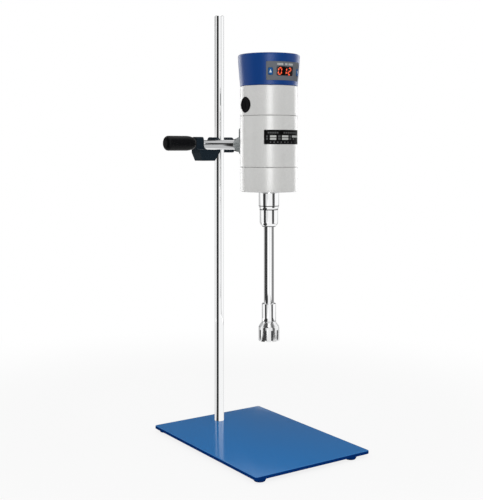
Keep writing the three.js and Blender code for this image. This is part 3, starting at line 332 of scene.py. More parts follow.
# Runs a geometry tree on a mesh; sizes are in millimetres, and values are set as they are
def grown(mesh, tree, finish, sizes, values, sharpAngle=32):
    piece = addObject("work", mesh)
    change = piece.modifiers.new("grow", "NODES")
    change.node_group = tree
    inputs = {label: size * mm for label, size in sizes.items()} | values | {"Finish": materials[finish]}
    for socket in tree.interface.items_tree:
        if socket.item_type == "SOCKET" and socket.in_out == "INPUT" and socket.name in inputs:
            change[socket.identifier] = inputs[socket.name]
    return tidyMesh(settled(piece), sharpAngle)


# Ends a geometry tree: plain mesh, with its finish
def dressed(tree, last, given, result):
    whole = put(tree, "GeometryNodeRealizeInstances", {0: last.outputs[0]})
    finished = put(tree, "GeometryNodeSetMaterial", {"Geometry": whole.outputs[0], "Material": given["Finish"]})
    tree.links.new(finished.outputs[0], result.inputs[0])
    return tree


# Equal slots cut round the Z axis
def radialCuts():
    tree, given, result = newTree("radialCuts", "GeometryNodeTree", dict(
        Body="Geometry", Count=8, Near=0.01, Far=0.02, Width=0.003, Bottom=0.0, Top=0.01, Turn=0.0, Centre=(0, 0, 0),
        Finish="Material",
    ), dict(Body="Geometry"))
    length = compute(tree, "SUBTRACT", given["Far"], given["Near"])
    height = compute(tree, "SUBTRACT", given["Top"], given["Bottom"])
    size = put(tree, "ShaderNodeCombineXYZ", {0: length, 1: given["Width"], 2: height})
    cutter = put(tree, "GeometryNodeMeshCube", {"Size": size.outputs[0]})
    middle = put(tree, "ShaderNodeCombineXYZ", {
        0: times(tree, compute(tree, "ADD", given["Far"], given["Near"]), 0.5),
        2: times(tree, compute(tree, "ADD", given["Top"], given["Bottom"]), 0.5),
    })
    moved = put(tree, "GeometryNodeTransform", {"Geometry": cutter.outputs["Mesh"], "Translation": middle.outputs[0]})
    points = put(tree, "GeometryNodePoints", {"Count": given["Count"], "Position": given["Centre"]})
    index = put(tree, "GeometryNodeInputIndex").outputs[0]
    share = compute(tree, "DIVIDE", compute(tree, "ADD", index, given["Turn"]), given["Count"])
    turn = put(tree, "ShaderNodeCombineXYZ", {2: times(tree, share, 2 * math.pi)})
    copies = put(tree, "GeometryNodeInstanceOnPoints", {
        "Points": points.outputs[0], "Instance": moved.outputs[0], "Rotation": turn.outputs[0],
    })
    solid = put(tree, "GeometryNodeRealizeInstances", {0: copies.outputs[0]})
    cut = put(tree, "GeometryNodeMeshBoolean", {"Mesh 1": given["Body"], "Mesh 2": solid.outputs[0]},
              operation="DIFFERENCE", solver="EXACT")
    return dressed(tree, cut, given, result)


# The same form at the four corners of an upright rectangle
def cornerCopies():
    tree, given, result = newTree("cornerCopies", "GeometryNodeTree", dict(
        Form="Geometry", Width=0.03, Height=0.04, Centre=(0, 0, 0), Finish="Material",
    ), dict(Forms="Geometry"))
    grid = put(tree, "GeometryNodeMeshGrid", {
        "Size X": given["Width"], "Size Y": given["Height"], "Vertices X": 2, "Vertices Y": 2,
    })
    stood = put(tree, "GeometryNodeTransform", {
        "Geometry": grid.outputs["Mesh"], "Rotation": (math.pi / 2, 0, 0), "Translation": given["Centre"],
    })
    copies = put(tree, "GeometryNodeInstanceOnPoints", {"Points": stood.outputs[0], "Instance": given["Form"]})
    return dressed(tree, copies, given, result)


# A bar along Z with a thread that runs out smoothly at both ends
def threadedBar():
    tree, given, result = newTree("threadedBar", "GeometryNodeTree", dict(
        Body="Geometry", Radius=0.004, Depth=0.0007, Pitch=0.00125, Length=0.02, Rings=100, Runout=0.001,
        Finish="Material",
    ), dict(Bar="Geometry"))
    bar = put(tree, "GeometryNodeMeshCylinder", {
        "Vertices": 40, "Side Segments": given["Rings"], "Radius": given["Radius"], "Depth": given["Length"],
    })
    place = put(tree, "ShaderNodeSeparateXYZ", {0: put(tree, "GeometryNodeInputPosition").outputs[0]}).outputs
    angle = compute(tree, "DIVIDE", compute(tree, "ARCTAN2", place[1], place[0]), 2 * math.pi)
    rise = compute(tree, "SUBTRACT", compute(tree, "DIVIDE", place[2], given["Pitch"]), angle)
    wave = compute(tree, "PINGPONG", rise, 0.5)
    fromEnd = compute(tree, "SUBTRACT", times(tree, given["Length"], 0.5),
                      compute(tree, "ABSOLUTE", place[2]))
    runout = compute(tree, "SUBTRACT", 1.0, compute(tree, "DIVIDE", fromEnd, given["Runout"]), clamp=True)
    depth = times(tree, compute(tree, "MAXIMUM", times(tree, wave, 2.0), runout),
                    given["Depth"])
    share = compute(tree, "SUBTRACT", 1.0, compute(tree, "DIVIDE", depth, given["Radius"]))
    spread = put(tree, "ShaderNodeCombineXYZ", {0: share, 1: share, 2: 1.0})
    position = put(tree, "GeometryNodeInputPosition").outputs[0]
    moved = vector(tree, "MULTIPLY", position, spread.outputs[0])
    formed = put(tree, "GeometryNodeSetPosition", {"Geometry": bar.outputs["Mesh"], "Position": moved})
    return dressed(tree, formed, given, result)


slotCutter = radialCuts()
cornerSetter = cornerCopies()
threadCutter = threadedBar()


# Shader groups that more than one finish uses
def objectPlace(tree):
    return put(tree, "ShaderNodeTexCoord").outputs["Object"]


def surface(tree, output):
    return put(tree, "ShaderNodeNewGeometry").outputs[output]


def upwards(tree):
    return put(tree, "ShaderNodeSeparateXYZ", {0: surface(tree, "Normal")}).outputs["Z"]


# Gives a group's output the product of two masks and the amount
def masked(tree, first, second, given, result):
    preset(result, {"Mask": times(tree, times(tree, first, second), given["Amount"])})
    return tree


def fineGrain():
    tree, given, result = newTree("fineGrain", "ShaderNodeTree", dict(Scale=900.0), dict(Height="Float", Tone="Float"))
    place = objectPlace(tree)
    broad = noise(tree, place, times(tree, given["Scale"], 0.03), 2.0)
    preset(result, {"Height": noise(tree, place, given["Scale"], 3.0), "Tone": broad})
    return tree


def edgeWear():
    tree, given, result = newTree("edgeWear", "ShaderNodeTree", dict(Start=0.53, Amount=0.5, Scale=300.0),
                                  dict(Mask="Float"))
    raised = ranged(tree, surface(tree, "Pointiness"), given["Start"], 0.62, smooth=False)
    chips = noise(tree, objectPlace(tree), given["Scale"], 4.0)
    return masked(tree, raised, ranged(tree, chips, 0.42, 0.62, smooth=False), given, result)


def handling():
    tree, given, result = newTree("handling", "ShaderNodeTree", dict(Scale=25.0, Amount=0.1), dict(Mask="Float"))
    warp = noise(tree, objectPlace(tree), given["Scale"], 5.0, Distortion=1.2)
    preset(result, {"Mask": times(tree, ranged(tree, warp, 0.45, 0.75), given["Amount"])})
    return tree


def turningLines():
    tree, given, result = newTree("turningLines", "ShaderNodeTree", dict(Along=(0, 0, 1), Density=6000.0),
                                  dict(Height="Float"))
    depth = vector(tree, "DOT_PRODUCT", objectPlace(tree), given["Along"])
    inputs = {"W": depth, "Scale": given["Density"], "Detail": 2.0}
    preset(result, {"Height": put(tree, "ShaderNodeTexNoise", inputs, noise_dimensions="1D").outputs["Fac"]})
    return tree


def settledDust():
    tree, given, result = newTree("settledDust", "ShaderNodeTree", dict(Amount=0.1, Scale=700.0), dict(Mask="Float"))
    facing = ranged(tree, upwards(tree), 0.6, 1.0, smooth=False)
    specks = noise(tree, objectPlace(tree), given["Scale"], 5.0)
    return masked(tree, facing, ranged(tree, specks, 0.5, 0.75, smooth=False), given, result)


effects = {make.__name__: make() for make in (fineGrain, edgeWear, handling, turningLines, settledDust)}


# Finishes. Colours are linear, the grain is per metre, and the bump is in micrometres.
def coat(slot, colour, rough, grain, bump, tone, smudge, **more):
    return Sizes(slot=slot, colour=colour, rough=rough, grain=grain, bump=bump, tone=tone, smudge=smudge, **more)


finishes = {
    # The plate's sides get a darker navy than its top: painted shade, for sides that face away from the light above
    "plateEnamel": coat(
        "plate_enamel", (0.017, 0.18, 0.50), 0.11, 380, 1.2, 0.02, 0.03, wear=0.4, wearColour=(0.05, 0.2, 0.45),
        dust=0.02, sideColour=(0.002, 0.028, 0.15),
    ),
    "chromePlate": coat(
        "chrome", (0.92, 0.925, 0.93), 0.045, 1500, 0.15, 0.03, 0.05, metal=1.0, lines=1.0, along=(0, 0, 1),
        density=4200,
    ),
    "chromeArm": coat(
        "chrome", (0.80, 0.81, 0.82), 0.055, 1500, 0.15, 0.03, 0.05, metal=1.0, lines=1.0, along=(0, 1, 0),
        density=4200,
    ),
    "sprayedCasting": coat(
        "casting", (0.0105, 0.0205, 0.031), 0.5, 1400, 25, 0.3, 0.08, wear=0.3, wearColour=(0.04, 0.055, 0.07),
        dust=0.04, specular=0.12,
    ),
    "handlePlastic": coat(
        "black_plastic", (0.003, 0.0033, 0.0042), 0.38, 1700, 9, 0.25, 0.1, wear=0.3,
        wearColour=(0.015, 0.015, 0.017), dust=0.02, specular=0.12,
    ),
    "casingPaint": coat(
        "casing_paint", (0.594, 0.594, 0.583), 0.27, 900, 5, 0.015, 0.02, wear=0.3, wearColour=(0.45, 0.45, 0.45),
        dust=0.04, specular=0.45,
    ),
    "bracketPaint": coat(
        "bracket_grey", (0.165, 0.185, 0.185), 0.48, 900, 8, 0.05, 0.08, wear=0.35, wearColour=(0.28, 0.28, 0.28),
        dust=0.03, specular=0.15,
    ),
    "coverBlue": coat(
        "head_blue", (0.0022, 0.043, 0.205), 0.34, 1200, 6, 0.08, 0.08, wear=0.3, wearColour=(0.02, 0.09, 0.28),
        dust=0.03, specular=0.16,
    ),
    "panelFilm": coat("panel_grey", (0.135, 0.145, 0.165), 0.5, 2600, 4, 0.05, 0.05, specular=0.15),
    "labelFilm": coat("label_black", (0.0015, 0.0015, 0.0018), 0.42, 2600, 3, 0.1, 0.06, specular=0.1),
    "paleInk": coat("label_black", (0.46, 0.47, 0.46), 0.55, 2600, 1, 0.08, 0.04, specular=0.2),
    "dimInk": coat("label_black", (0.075, 0.078, 0.08), 0.55, 2600, 1, 0.2, 0.04, specular=0.2),
    "keyPlastic": coat("key_blue", (0.007, 0.085, 0.27), 0.42, 1700, 4, 0.08, 0.08, specular=0.2),
    "keyMark": coat("key_blue", (0.6, 0.72, 0.8), 0.5, 2600, 1, 0.05, 0.04),
    "machinedSteel": coat(
        "steel", (0.5, 0.505, 0.51), 0.28, 900, 1.5, 0.08, 0.1, metal=1.0, wear=0.2, wearColour=(0.7, 0.7, 0.7),
        lines=3.0, along=(0, 0, 1), density=2500,
    ),
    "satinSteel": coat(
        "chrome", (0.84, 0.845, 0.85), 0.17, 1100, 0.8, 0.05, 0.05, metal=1.0, lines=2.0, along=(0, 0, 1),
        density=3200,
    ),
    "rotorSteel": coat("steel", (0.12, 0.122, 0.125), 0.35, 900, 1.5, 0.1, 0.1, metal=1.0),
    "castAluminium": coat("aluminium", (0.6, 0.605, 0.61), 0.45, 700, 12, 0.08, 0.06, metal=1.0),
    "turnedBrass": coat(
        "brass", (0.55, 0.38, 0.13), 0.3, 900, 2, 0.1, 0.1, metal=1.0, lines=2.0, along=(0.6, 0.5, 0.62),
        density=2500,
    ),
    "woundCopper": coat(
        "copper", (0.55, 0.19, 0.08), 0.35, 500, 5, 0.2, 0.08, metal=1.0, lines=12.0, along=(0, 0, 1), density=1500,
    ),
    "pressedCarbon": coat("carbon", (0.025, 0.025, 0.027), 0.7, 1500, 6, 0.25, 0.1),
    "boardGreen": coat("circuit_board", (0.012, 0.1, 0.04), 0.4, 1200, 3, 0.15, 0.05),
    "bushIvory": coat("bush_plastic", (0.68, 0.63, 0.5), 0.5, 1200, 4, 0.06, 0.06),
}
materials = {}


def newMaterial(name):
    materials[name] = bpy.data.materials.new(name)
    materials[name].use_nodes = True
    tree = materials[name].node_tree
    return tree, tree.nodes["Principled BSDF"]


def makeFinish(name, look):
    tree, shader = newMaterial(name)

    def effect(kind, **inputs):
        return grouped(tree, effects[kind], **inputs)

    base = look.colour
    preset(shader, {"Metallic": look.get("metal", 0.0), "Specular IOR Level": look.get("specular", 0.5)})
    grain = effect("fineGrain", Scale=look.grain)
    toned = times(tree, grain["Tone"], look.tone * 2)
    colour = blended(tree, toned, base, [channel * 0.6 for channel in base])
    if look.get("wear"):
        worn = effect("edgeWear", Amount=look.wear)["Mask"]
        colour = blended(tree, worn, colour, look.wearColour)
    if look.get("dust"):
        colour = blended(tree, effect("settledDust", Amount=look.dust)["Mask"], colour, (0.5, 0.49, 0.47))
    # Faces that don't point up take the darker side colour: painted shade
    if look.get("sideColour"):
        onTop = ranged(tree, upwards(tree), 0.35, 0.85, smooth=False)
        colour = blended(tree, onTop, look.sideColour, colour)
        tree.links.new(times(tree, onTop, 0.5), shader.inputs["Specular IOR Level"])
    touched = effect("handling", Amount=look.smudge)["Mask"]
    rough = compute(tree, "SUBTRACT", compute(tree, "ADD", look.rough, touched), 0.03)
    spread = compute(tree, "MULTIPLY_ADD", grain["Height"], 0.06, rough, clamp=True)
    bump = put(tree, "ShaderNodeBump", {"Height": grain["Height"], "Strength": 1.0, "Distance": look.bump * 1e-6})
    if look.get("lines"):
        line = effect("turningLines", Along=look.along, Density=look.density)["Height"]
        bump = put(tree, "ShaderNodeBump", {
            "Height": line, "Strength": 1.0, "Distance": look.lines * 1e-7, "Normal": bump.outputs[0],
        })
    preset(shader, {"Base Color": colour, "Roughness": spread, "Normal": bump.outputs[0]})


finishOfSlot = {}
for finishName, look in finishes.items():
    makeFinish(finishName, look)
    finishOfSlot.setdefault(look.slot, finishName)

# Dark pane in front of the digits, and their lit red segments
paneTree, paneShader = newMaterial("smokedPane")
paneSmears = grouped(paneTree, effects["handling"], Scale=90, Amount=0.06)["Mask"]
preset(paneShader, {
    "Base Color": (0.55, 0.30, 0.28, 1), "Transmission Weight": 1.0, "IOR": 1.49,
    "Roughness": compute(paneTree, "ADD", paneSmears, 0.02),
})
finishOfSlot["window"] = "smokedPane"

glowTree, glowShader = newMaterial("litSegments")
glowGrain = grouped(glowTree, effects["fineGrain"], Scale=1500)["Height"]
glowTone = blended(glowTree, glowGrain, (1.0, 0.11, 0.03), (1.0, 0.32, 0.14))
preset(glowShader, {"Emission Color": glowTone, "Emission Strength": 2.2, "Base Color": (0.3, 0.02, 0.01, 1)})
print("finishes ready")


# Dresses a mesh, rides it on the body of the node that it stands for, and hides that node
def finishPiece(name, mesh, finish, *nodes, slot=None, body=None):
    mesh.name = name
    mesh.materials.clear()
    mesh.materials.append(materials[finish])
    for face in mesh.polygons:
        face.material_index = 0
    piece = addObject(name, mesh)
    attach(piece, body or bodyOf[nodes[0]])
    if nodes:
        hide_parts(*nodes)


# Stand
stand = Sizes(
    width=214, depth=300, corner=4, bottom=5, top=10, edge=0.8, footTop=10.5, footSole=8, footLeft=14, footRight=30,
    footInset=11, footSink=2, rodRadius=8, rodTop=705, rodEdge=1.4, spigot=5, spigotLength=4, hole=5.3,
)


def makeStand():
    half, deep = stand.width / 2, stand.depth / 2
    outline = roundedBox(half, deep, stand.corner)
    body = slab(outline, stand.bottom, stand.top, standPlace, stand.edge, 3)
    feet, top = [], stand.top - stand.footSink
    sole = [(0, 0, 0), (stand.footSole, 0, 1.2), (stand.footTop, stand.bottom, 0), (stand.footTop, top, 0),
            (0, top, 0)]
    for x in (stand.footLeft - half, half - stand.footRight):
        for y in (stand.footInset - deep, deep - stand.footInset):
            feet.append(turned(sole, shifted(x, y), 0, 64))
    body = combined(body, feet, "UNION")
    bore = turned(post(stand.hole, -over, stand.top + over), rodPlace, 0, 48)
    finishPiece("basePlate", combined(body, [bore]), "plateEnamel", "base_plate")
    foot, top, radius = stand.top + closeGap, stand.rodTop, stand.rodRadius
    low, spigot = foot - stand.spigotLength, stand.spigot
    outline = [(0, low), (spigot, low), (spigot, foot), (radius, foot, 0.3), (radius, top, stand.rodEdge), (0, top)]
    finishPiece("supportRod", turned(outline, rodPlace, 0.2, 96), "chromePlate", "support_rod")


makeStand()
print("stand built")

# Cross clamp; Y and Z of these outlines run along the two rods
clamp = Sizes(
    offset=24, cheekFront=17, cheekBack=14.5, cheekLift=13, cheekCrown=8, cheekToe=3, outerCheek=9.7,
    outerCheekFront=20, bridgeLift=11, webFront=15.3, webDrop=27, hookOuter=14, tongueFront=3.5, tongueLift=13.6,
    tongueCrown=5, webShoulder=0.6, fillet=3, webDraftLeft=5, webDraftRight=8, webDraftEnd=2.4,
    rodBore=8.3, armRoom=8.4, armSlack=0.6, grain=0.55, soften=8,
)
screws = Sizes(radius=4, depth=0.65, pitch=1.25, lift=2.6, side=3.8, padRadius=3.5, padThick=2, pocket=16, runout=1.2,
               ringsPerLength=7, play=0.4)
handles = Sizes(radius=12.5, length=56, neck=6, taper=17, end=6, standOff=1, exposed=10)


def makeClampBody():
    c = clamp
    innerFace = -c.offset + c.armRoom - gap
    hookInner = -c.offset - c.armRoom - c.armSlack
    hookLeft = hookInner - c.hookOuter
    cheekFace = c.rodBore + c.outerCheek

    def cheek(low, high, frontReach):
        y0, y1, z1 = -frontReach, c.cheekBack, c.cheekLift
        toe, crown = c.cheekToe, c.cheekCrown
        outline = eased([(y0, -z1, toe), (y1, -z1, toe), (y1, z1, crown), (y0, z1, crown)], 0, True, 8)
        return slab(outline, low, high, alongX)

    shoulder = -c.armRoom + c.webShoulder
    back, drop, lift = c.cheekBack, c.webDrop, c.tongueLift
    lead, front = c.tongueFront, c.webFront
    hook = eased([
        (back, -drop, 2), (back, lift, c.tongueCrown), (-lead, lift, c.tongueCrown),
        (-lead, shoulder, c.fillet), (-front, shoulder, 2), (-front, -drop, 2),
    ], 0, True, 8)
    tongue = slab(hook, hookLeft, innerFace, alongX)
    web = box(hookLeft + lap, -c.rodBore, -front, back, -drop, shoulder - gap)
    points, levels = [], ((1, -drop), (0, -c.cheekLift), (0, lift + over))
    for share, z in levels:
        left, right = hookLeft + share * c.webDraftLeft, -c.rodBore - share * c.webDraftRight
        near, far = -front + share * c.webDraftEnd, back - share * c.webDraftEnd
        points += [(left, near, z), (right, near, z), (right, far, z), (left, far, z)]
    faces = [[0, 1, 2, 3], [8, 9, 10, 11]]
    faces += [[a + i, a + (i + 1) % 4, a + 4 + (i + 1) % 4, a + 4 + i] for a in (0, 4) for i in range(4)]
    draft = meshFrom(points, faces)
    body = combined(combined(tongue, [web], "UNION"), [draft], "INTERSECT")
    bridge = box(innerFace + lap, cheekFace - lap, 0, back, -c.bridgeLift, c.bridgeLift)
    parts = [cheek(innerFace, -c.rodBore, c.cheekFront), cheek(c.rodBore, cheekFace, c.outerCheekFront)]
    body = combined(body, parts + [bridge], "UNION")

    # The raw casting gets soft edges before the bores are machined
    raw = addObject("raw", body)
    melt = raw.modifiers.new("melt", "REMESH")
    melt.mode = "VOXEL"
    melt.voxel_size = c.grain * mm
    soft = raw.modifiers.new("soft", "SMOOTH")
    soft.factor = 0.5
    soft.iterations = c.soften
    body = tidyMesh(settled(raw))

    room, reach, top = c.armRoom, 30, lift + 3
    trough = [(-room - c.armSlack, top), (-room - c.armSlack, 0)]
    for step in range(25):
        angle = math.pi + math.pi * step / 24
        centre = -c.armSlack if step < 12 else 0
        trough.append((centre + room * math.cos(angle), room * math.sin(angle)))
    trough += [(room, 0), (room, top)]
    armCut = slab(trough, -reach, reach, shifted(-c.offset) @ toFront)
    rodCut = turned(post(c.rodBore, -drop - over, lift + over), standPlace, 0, 96)
    hole = screws.radius + screws.play
    screwCuts = []
    for low, high, side, rise in ((hookLeft - over, hookInner + over, screws.side, screws.lift),
                                  (c.rodBore - over, cheekFace + over, 0, 0)):
        screwCuts.append(turned(post(hole, low, high), shifted(0, side, rise) @ alongX, 0, 48))
    body = combined(body, [armCut, rodCut] + screwCuts, "DIFFERENCE", 40)
    body.transform(clampPlace)
    finishPiece("clampBody", body, "sprayedCasting", "boss_head")
    return hookLeft, cheekFace


# Pad, threaded screw and grip on one line; the outline's height runs away from the rod held
def makeClampScrew(kind, padFace, handleFace, turn, y, z):
    place = clampPlace @ shifted(0, y, z) @ turn @ alongX
    padEnd = padFace + screws.padThick
    outline = post(screws.padRadius, padFace, padEnd)
    name = kind.split("_")[0]
    finishPiece(name + "ClampPad", turned(outline, place, 0.4, 48), "satinSteel", kind + "_pad")
    tip, end = padEnd + gap, handleFace + screws.pocket - gap
    length = end - tip
    sizes = dict(Radius=screws.radius, Depth=screws.depth, Pitch=screws.pitch, Length=length, Runout=screws.runout)
    rings = {"Rings": int(length * screws.ringsPerLength)}
    bar = grown(turned(post(1, 0, 1), None, 0, 8), threadCutter, "machinedSteel", sizes, rings, 60)
    bar.transform(place @ shifted(0, 0, tip + length / 2))
    finishPiece(name + "ClampScrew", bar, "machinedSteel", kind + "_screw")

    full, neck, pocket = handles.radius, handles.neck, screws.radius + gap
    last = handleFace + handles.length
    inside = handleFace + screws.pocket
    outline = [(0, inside, 0), (pocket, inside, 0.2), (pocket, handleFace, 0.3)]
    for angle in quarter(16):
        reach = handleFace + handles.taper * (1 - math.cos(angle))
        outline.append((neck + (full - neck) * math.sin(angle), reach, 0 if angle else 0.3))
    for angle in quarter(16):
        radius = full - handles.end * (1 - math.cos(angle))
        outline.append((radius, last - handles.end * (1 - math.sin(angle)), 0))
    outline.append((0, last, 0))
    grip = turned(outline, place, 0.3, 96)
    finishPiece(name + "Handle", grip, "handlePlastic", kind + "_handle")


hookLeft, cheekFace = makeClampBody()
makeClampScrew("arm_clamp", clamp.offset + clamp.rodBore, -hookLeft + handles.standOff, turnBack, screws.side,
               screws.lift)
makeClampScrew("rod_clamp", clamp.rodBore, cheekFace + handles.exposed, standPlace, 0, 0)
print("clamp built")

# Cross rod and its flange; Y runs from the motor's axis towards the rear
arm = Sizes(radius=8, edge=1.1, rear=195.3, tip=87.6, spigot=6, spigotLength=22, rise=72.6)
flange = Sizes(
    face=45.0, thick=3.3, width=48, height=43, lift=5.3, corner=5, root=16, knee=12.5, kneeLength=7.5, tip=8.9,
    coneEnd=87.3, inset=5.6, fillet=1.5, hole=2.3, screwHead=3.5, screwRise=3, shank=2, depth=8, socket=1.7,
)


def makeArm():
    a, f = arm, flange
    axis = onAxis(a.rise, alongY)
    start = a.tip - a.spigotLength
    outline = [(0, start), (a.spigot, start), (a.spigot, a.tip), (a.radius, a.tip), (a.radius, a.rear, a.edge),
               (0, a.rear)]
    finishPiece("armRod", turned(outline, axis, 0.25, 96), "chromeArm", "arm_rod")

    front, back = f.face, f.face + f.thick
    plateOutline = roundedBox(f.width / 2, f.height / 2, f.corner, 8)
    plateAxis = onAxis(a.rise + f.lift, alongY)
    body = slab(plateOutline, front, back, plateAxis, 0.6)
    cone = [(0, front + 1), (f.root, front + 1), (f.root, back), (f.knee, f.coneEnd - f.kneeLength, 6),
            (f.tip, f.coneEnd, 0.5), (0, f.coneEnd)]
    fillet = [(0, back - 0.2), (f.root + f.fillet, back - 0.2, 0), (f.root + f.fillet, back, 0)]
    reach = f.fillet
    for angle in quarter(8):
        fillet.append((f.root + reach - reach * math.sin(angle), back + reach - reach * math.cos(angle), 0))
    fillet += [(0, back + f.fillet)]
    socket = post(a.spigot + gap, start - gap, 110)
    limit = slab(plateOutline, back - 1, back + f.fillet + 1, plateAxis)
    fillet = combined(turned(fillet, axis, 0, 128), [limit], "INTERSECT")
    body = combined(body, [turned(cone, axis, 0, 128), fillet], "UNION")
    cuts = [turned(socket, axis, 0, 64)]
    across, up = f.width / 2 - f.inset, f.height / 2 - f.inset
    for sx in (-1, 1):
        for sy in (-1, 1):
            place = plateAxis @ shifted(sx * across, sy * up)
            cuts.append(turned(post(f.hole, front - over, back + over), place, 0, 32))
    finishPiece("armBracket", combined(body, cuts), "bracketPaint", "arm_bracket")

    # One socket screw, set at the four corners
    seat, end = back + closeGap, front - gap - f.depth
    outline = [(0, end), (f.shank, end), (f.shank, seat),
               (f.screwHead, seat, 0.15), (f.screwHead, seat + f.screwRise, 0.5), (0, seat + f.screwRise)]
    form = turned(outline, alongY, 0, 48)
    flats = [(f.socket * math.cos(math.pi * i / 3), f.socket * math.sin(math.pi * i / 3)) for i in range(6)]
    form = combined(form, [slab(flats, seat + 1.2, seat + 9, alongY)])
    values = {"Centre": onAxis(a.rise + f.lift).translation}
    screwSet = grown(form, cornerSetter, "machinedSteel", dict(Width=2 * across, Height=2 * up), values)
    finishPiece("bracketScrews", screwSet, "machinedSteel", *[f"bracket_screw_{i}" for i in (1, 2, 3, 4)])


makeArm()
print("arm built")

# Motor casing, in heights above the underside of its nose
casing = Sizes(
    radius=44.35, bore=40, edge=1.0, noseTop=37.55, shellBottom=37.85, shellTop=115.95, brushBottom=116.25,
    brushTop=161.45, recess=13, recessDepth=4, floor=6, hub=17.5, hubTop=14.8, shaftHole=6.5, seat=6.5, seatBore=13.3,
    ventNear=22, ventFar=36, ventWidth=4, vents=8, padFace=44.7, brushAxis=132.6, glandAxis=139.1,
    glandBore=7.3, wallCut=(30, 50),
)
label = Sizes(bottom=72.6, top=94.1, halfAngle=45, thick=0.5, corner=1.2, ink=0.04)
labelRows = ((82.9, 85.9), (79.1, 82.0))
headRow, footRow = (88.6, 91.0), (74.3, 76.7)
labelMarks = Sizes(
    fields=((-33.5, -21), (-9.2, 5.8)), wideField=(16.6, 43.5), words=((-40.8, -37.4), (-17.3, -12), (8.8, 14)),
    shortWords=(-38, -33.6, -29.2, -24.8, -20.4), shortWidth=3.6,
    longWords=(-6, -1, 4, 9, 14.2, 19.6, 25.4, 32), longWidth=3.8, lastWords=(19, 34), lastWidth=5,
    signs=(-32.3, -25.3, -18.1, -10.8, -2.8, 4.8, 14.7, 28.2), signReach=1.3,
)
brushCap = Sizes(
    radius=12, inner=38.85, outer=44.95, edge=0.8, rimWidth=3, crest=2.2, sink=0.8, slotWidth=1.4, slotDepth=0.9,
    slotLength=13,
)


# The length of an arc on the casing
def arc(angle):
    return casing.radius * math.radians(angle)


def casingRing(low, high):
    c = casing
    outline = [(c.bore, low), (c.radius, low, c.edge), (c.radius, high, c.edge), (c.bore, high)]
    return turned(outline, motorPlace, 0.2, 224)


# Bends a flat form round the front of the casing: X becomes arc, Y depth, and Z stays
def wrapped(mesh, radiusAt, heights=()):
    work = opened(mesh)
    reach = max(abs(v.co.x) for v in work.verts)
    count = max(1, math.ceil(2 * reach / (wrapStep * mm)))
    cuts = [((2 * i / count - 1) * reach, 0, (1, 0, 0)) for i in range(1, count)]
    cuts += [(0, height * mm, (0, 0, 1)) for height in heights]
    for x, z, normal in cuts:
        everything = work.verts[:] + work.edges[:] + work.faces[:]
        bmesh.ops.bisect_plane(work, geom=everything, plane_co=(x, 0, z), plane_no=normal, dist=1e-7)
    for vertex in work.verts:
        angle = vertex.co.x / (casing.radius * mm)
        radius = radiusAt(vertex.co.z / mm) * mm + vertex.co.y
        vertex.co = (radius * math.sin(angle), -radius * math.cos(angle), vertex.co.z)
    written(work, mesh).transform(motorPlace)
    return tidyMesh(mesh)


def onCasing(outline, inner, outer, middleX, middleZ, edge=0):
    form = upright(outline, inner, outer, middleX, middleZ, edge)
    return wrapped(form, lambda z: casing.radius)


def makeCasing():
    c = casing
    nose = [
        (c.shaftHole, c.recessDepth), (c.recess, c.recessDepth), (c.recess, 0, 0.6),
        (c.radius, 0, 1.6), (c.radius, c.noseTop, c.edge), (c.bore, c.noseTop),
        (c.bore, c.floor), (c.hub, c.floor), (c.hub, c.hubTop), (c.seatBore, c.hubTop),
        (c.seatBore, c.seat), (c.shaftHole, c.seat),
    ]
    values = {"Count": c.vents, "Turn": 0.5, "Centre": motorPlace.translation}
    sizes = dict(Near=c.ventNear, Far=c.ventFar, Width=c.ventWidth, Bottom=-3, Top=c.floor + 3)
    body = grown(turned(nose, motorPlace, 0.2, 224), slotCutter, "casingPaint", sizes, values)
    finishPiece("noseHousing", body, "casingPaint", "nose_housing")

    body = casingRing(c.shellBottom, c.shellTop)
    padOutline = roundedBox(flange.width / 2, flange.height / 2, flange.corner, 8)
    pad = slab(padOutline, c.bore * 0.8, c.padFace, onAxis(arm.rise + flange.lift, alongY), 0.5)
    hollow = post(c.bore, c.shellBottom - over, c.shellTop + over)
    pad = combined(pad, [turned(hollow, motorPlace, 0, 224)])
    body = combined(body, [pad], "UNION")
    middle, half = middleAndHalf(label.bottom, label.top)
    outline = roundedBox(arc(label.halfAngle) + gap, half + gap, label.corner)
    recess = onCasing(outline, -label.thick - 0.25, 3, 0, middle)
    finishPiece("motorShell", combined(body, [recess]), "casingPaint", "motor_shell")

    body = casingRing(c.brushBottom, c.brushTop)
    cuts = []
    for turn in (standPlace, turnBack):
        cuts.append(turned(post(brushCap.radius + gap, *c.wallCut), onAxis(c.brushAxis, turn, alongX), 0, 96))
    cuts.append(turned(post(c.glandBore, *c.wallCut), onAxis(c.glandAxis, alongY), 0, 64))
    finishPiece("brushHousing", combined(body, cuts), "casingPaint", "brush_housing")


def makeBrushCaps():
    b = brushCap
    for side, turn in (("right", standPlace), ("left", turnBack)):
        place = onAxis(casing.brushAxis, turn, alongX)
        outline = [(0, b.inner), (b.radius, b.inner), (b.radius, b.outer - 0.5, 1.0),
                   (b.radius - b.crest, b.outer - 0.2, 0.6), (b.radius - b.rimWidth, b.outer - b.sink, 0.5),
                   (0, b.outer - b.sink)]
        cap = turned(outline, place, b.edge, 96)
        halfSlot, halfWide = b.slotLength / 2, b.slotWidth / 2
        slot = box(-halfWide, halfWide, -halfSlot, halfSlot, b.outer - b.sink - b.slotDepth, 60, place)
        finishPiece(f"brushCap{side.title()}", combined(cap, [slot]), "handlePlastic", "brush_cap_" + side)


def joined(meshes):
    return tidyMesh(written(opened(*meshes), bpy.data.meshes.new("form")))


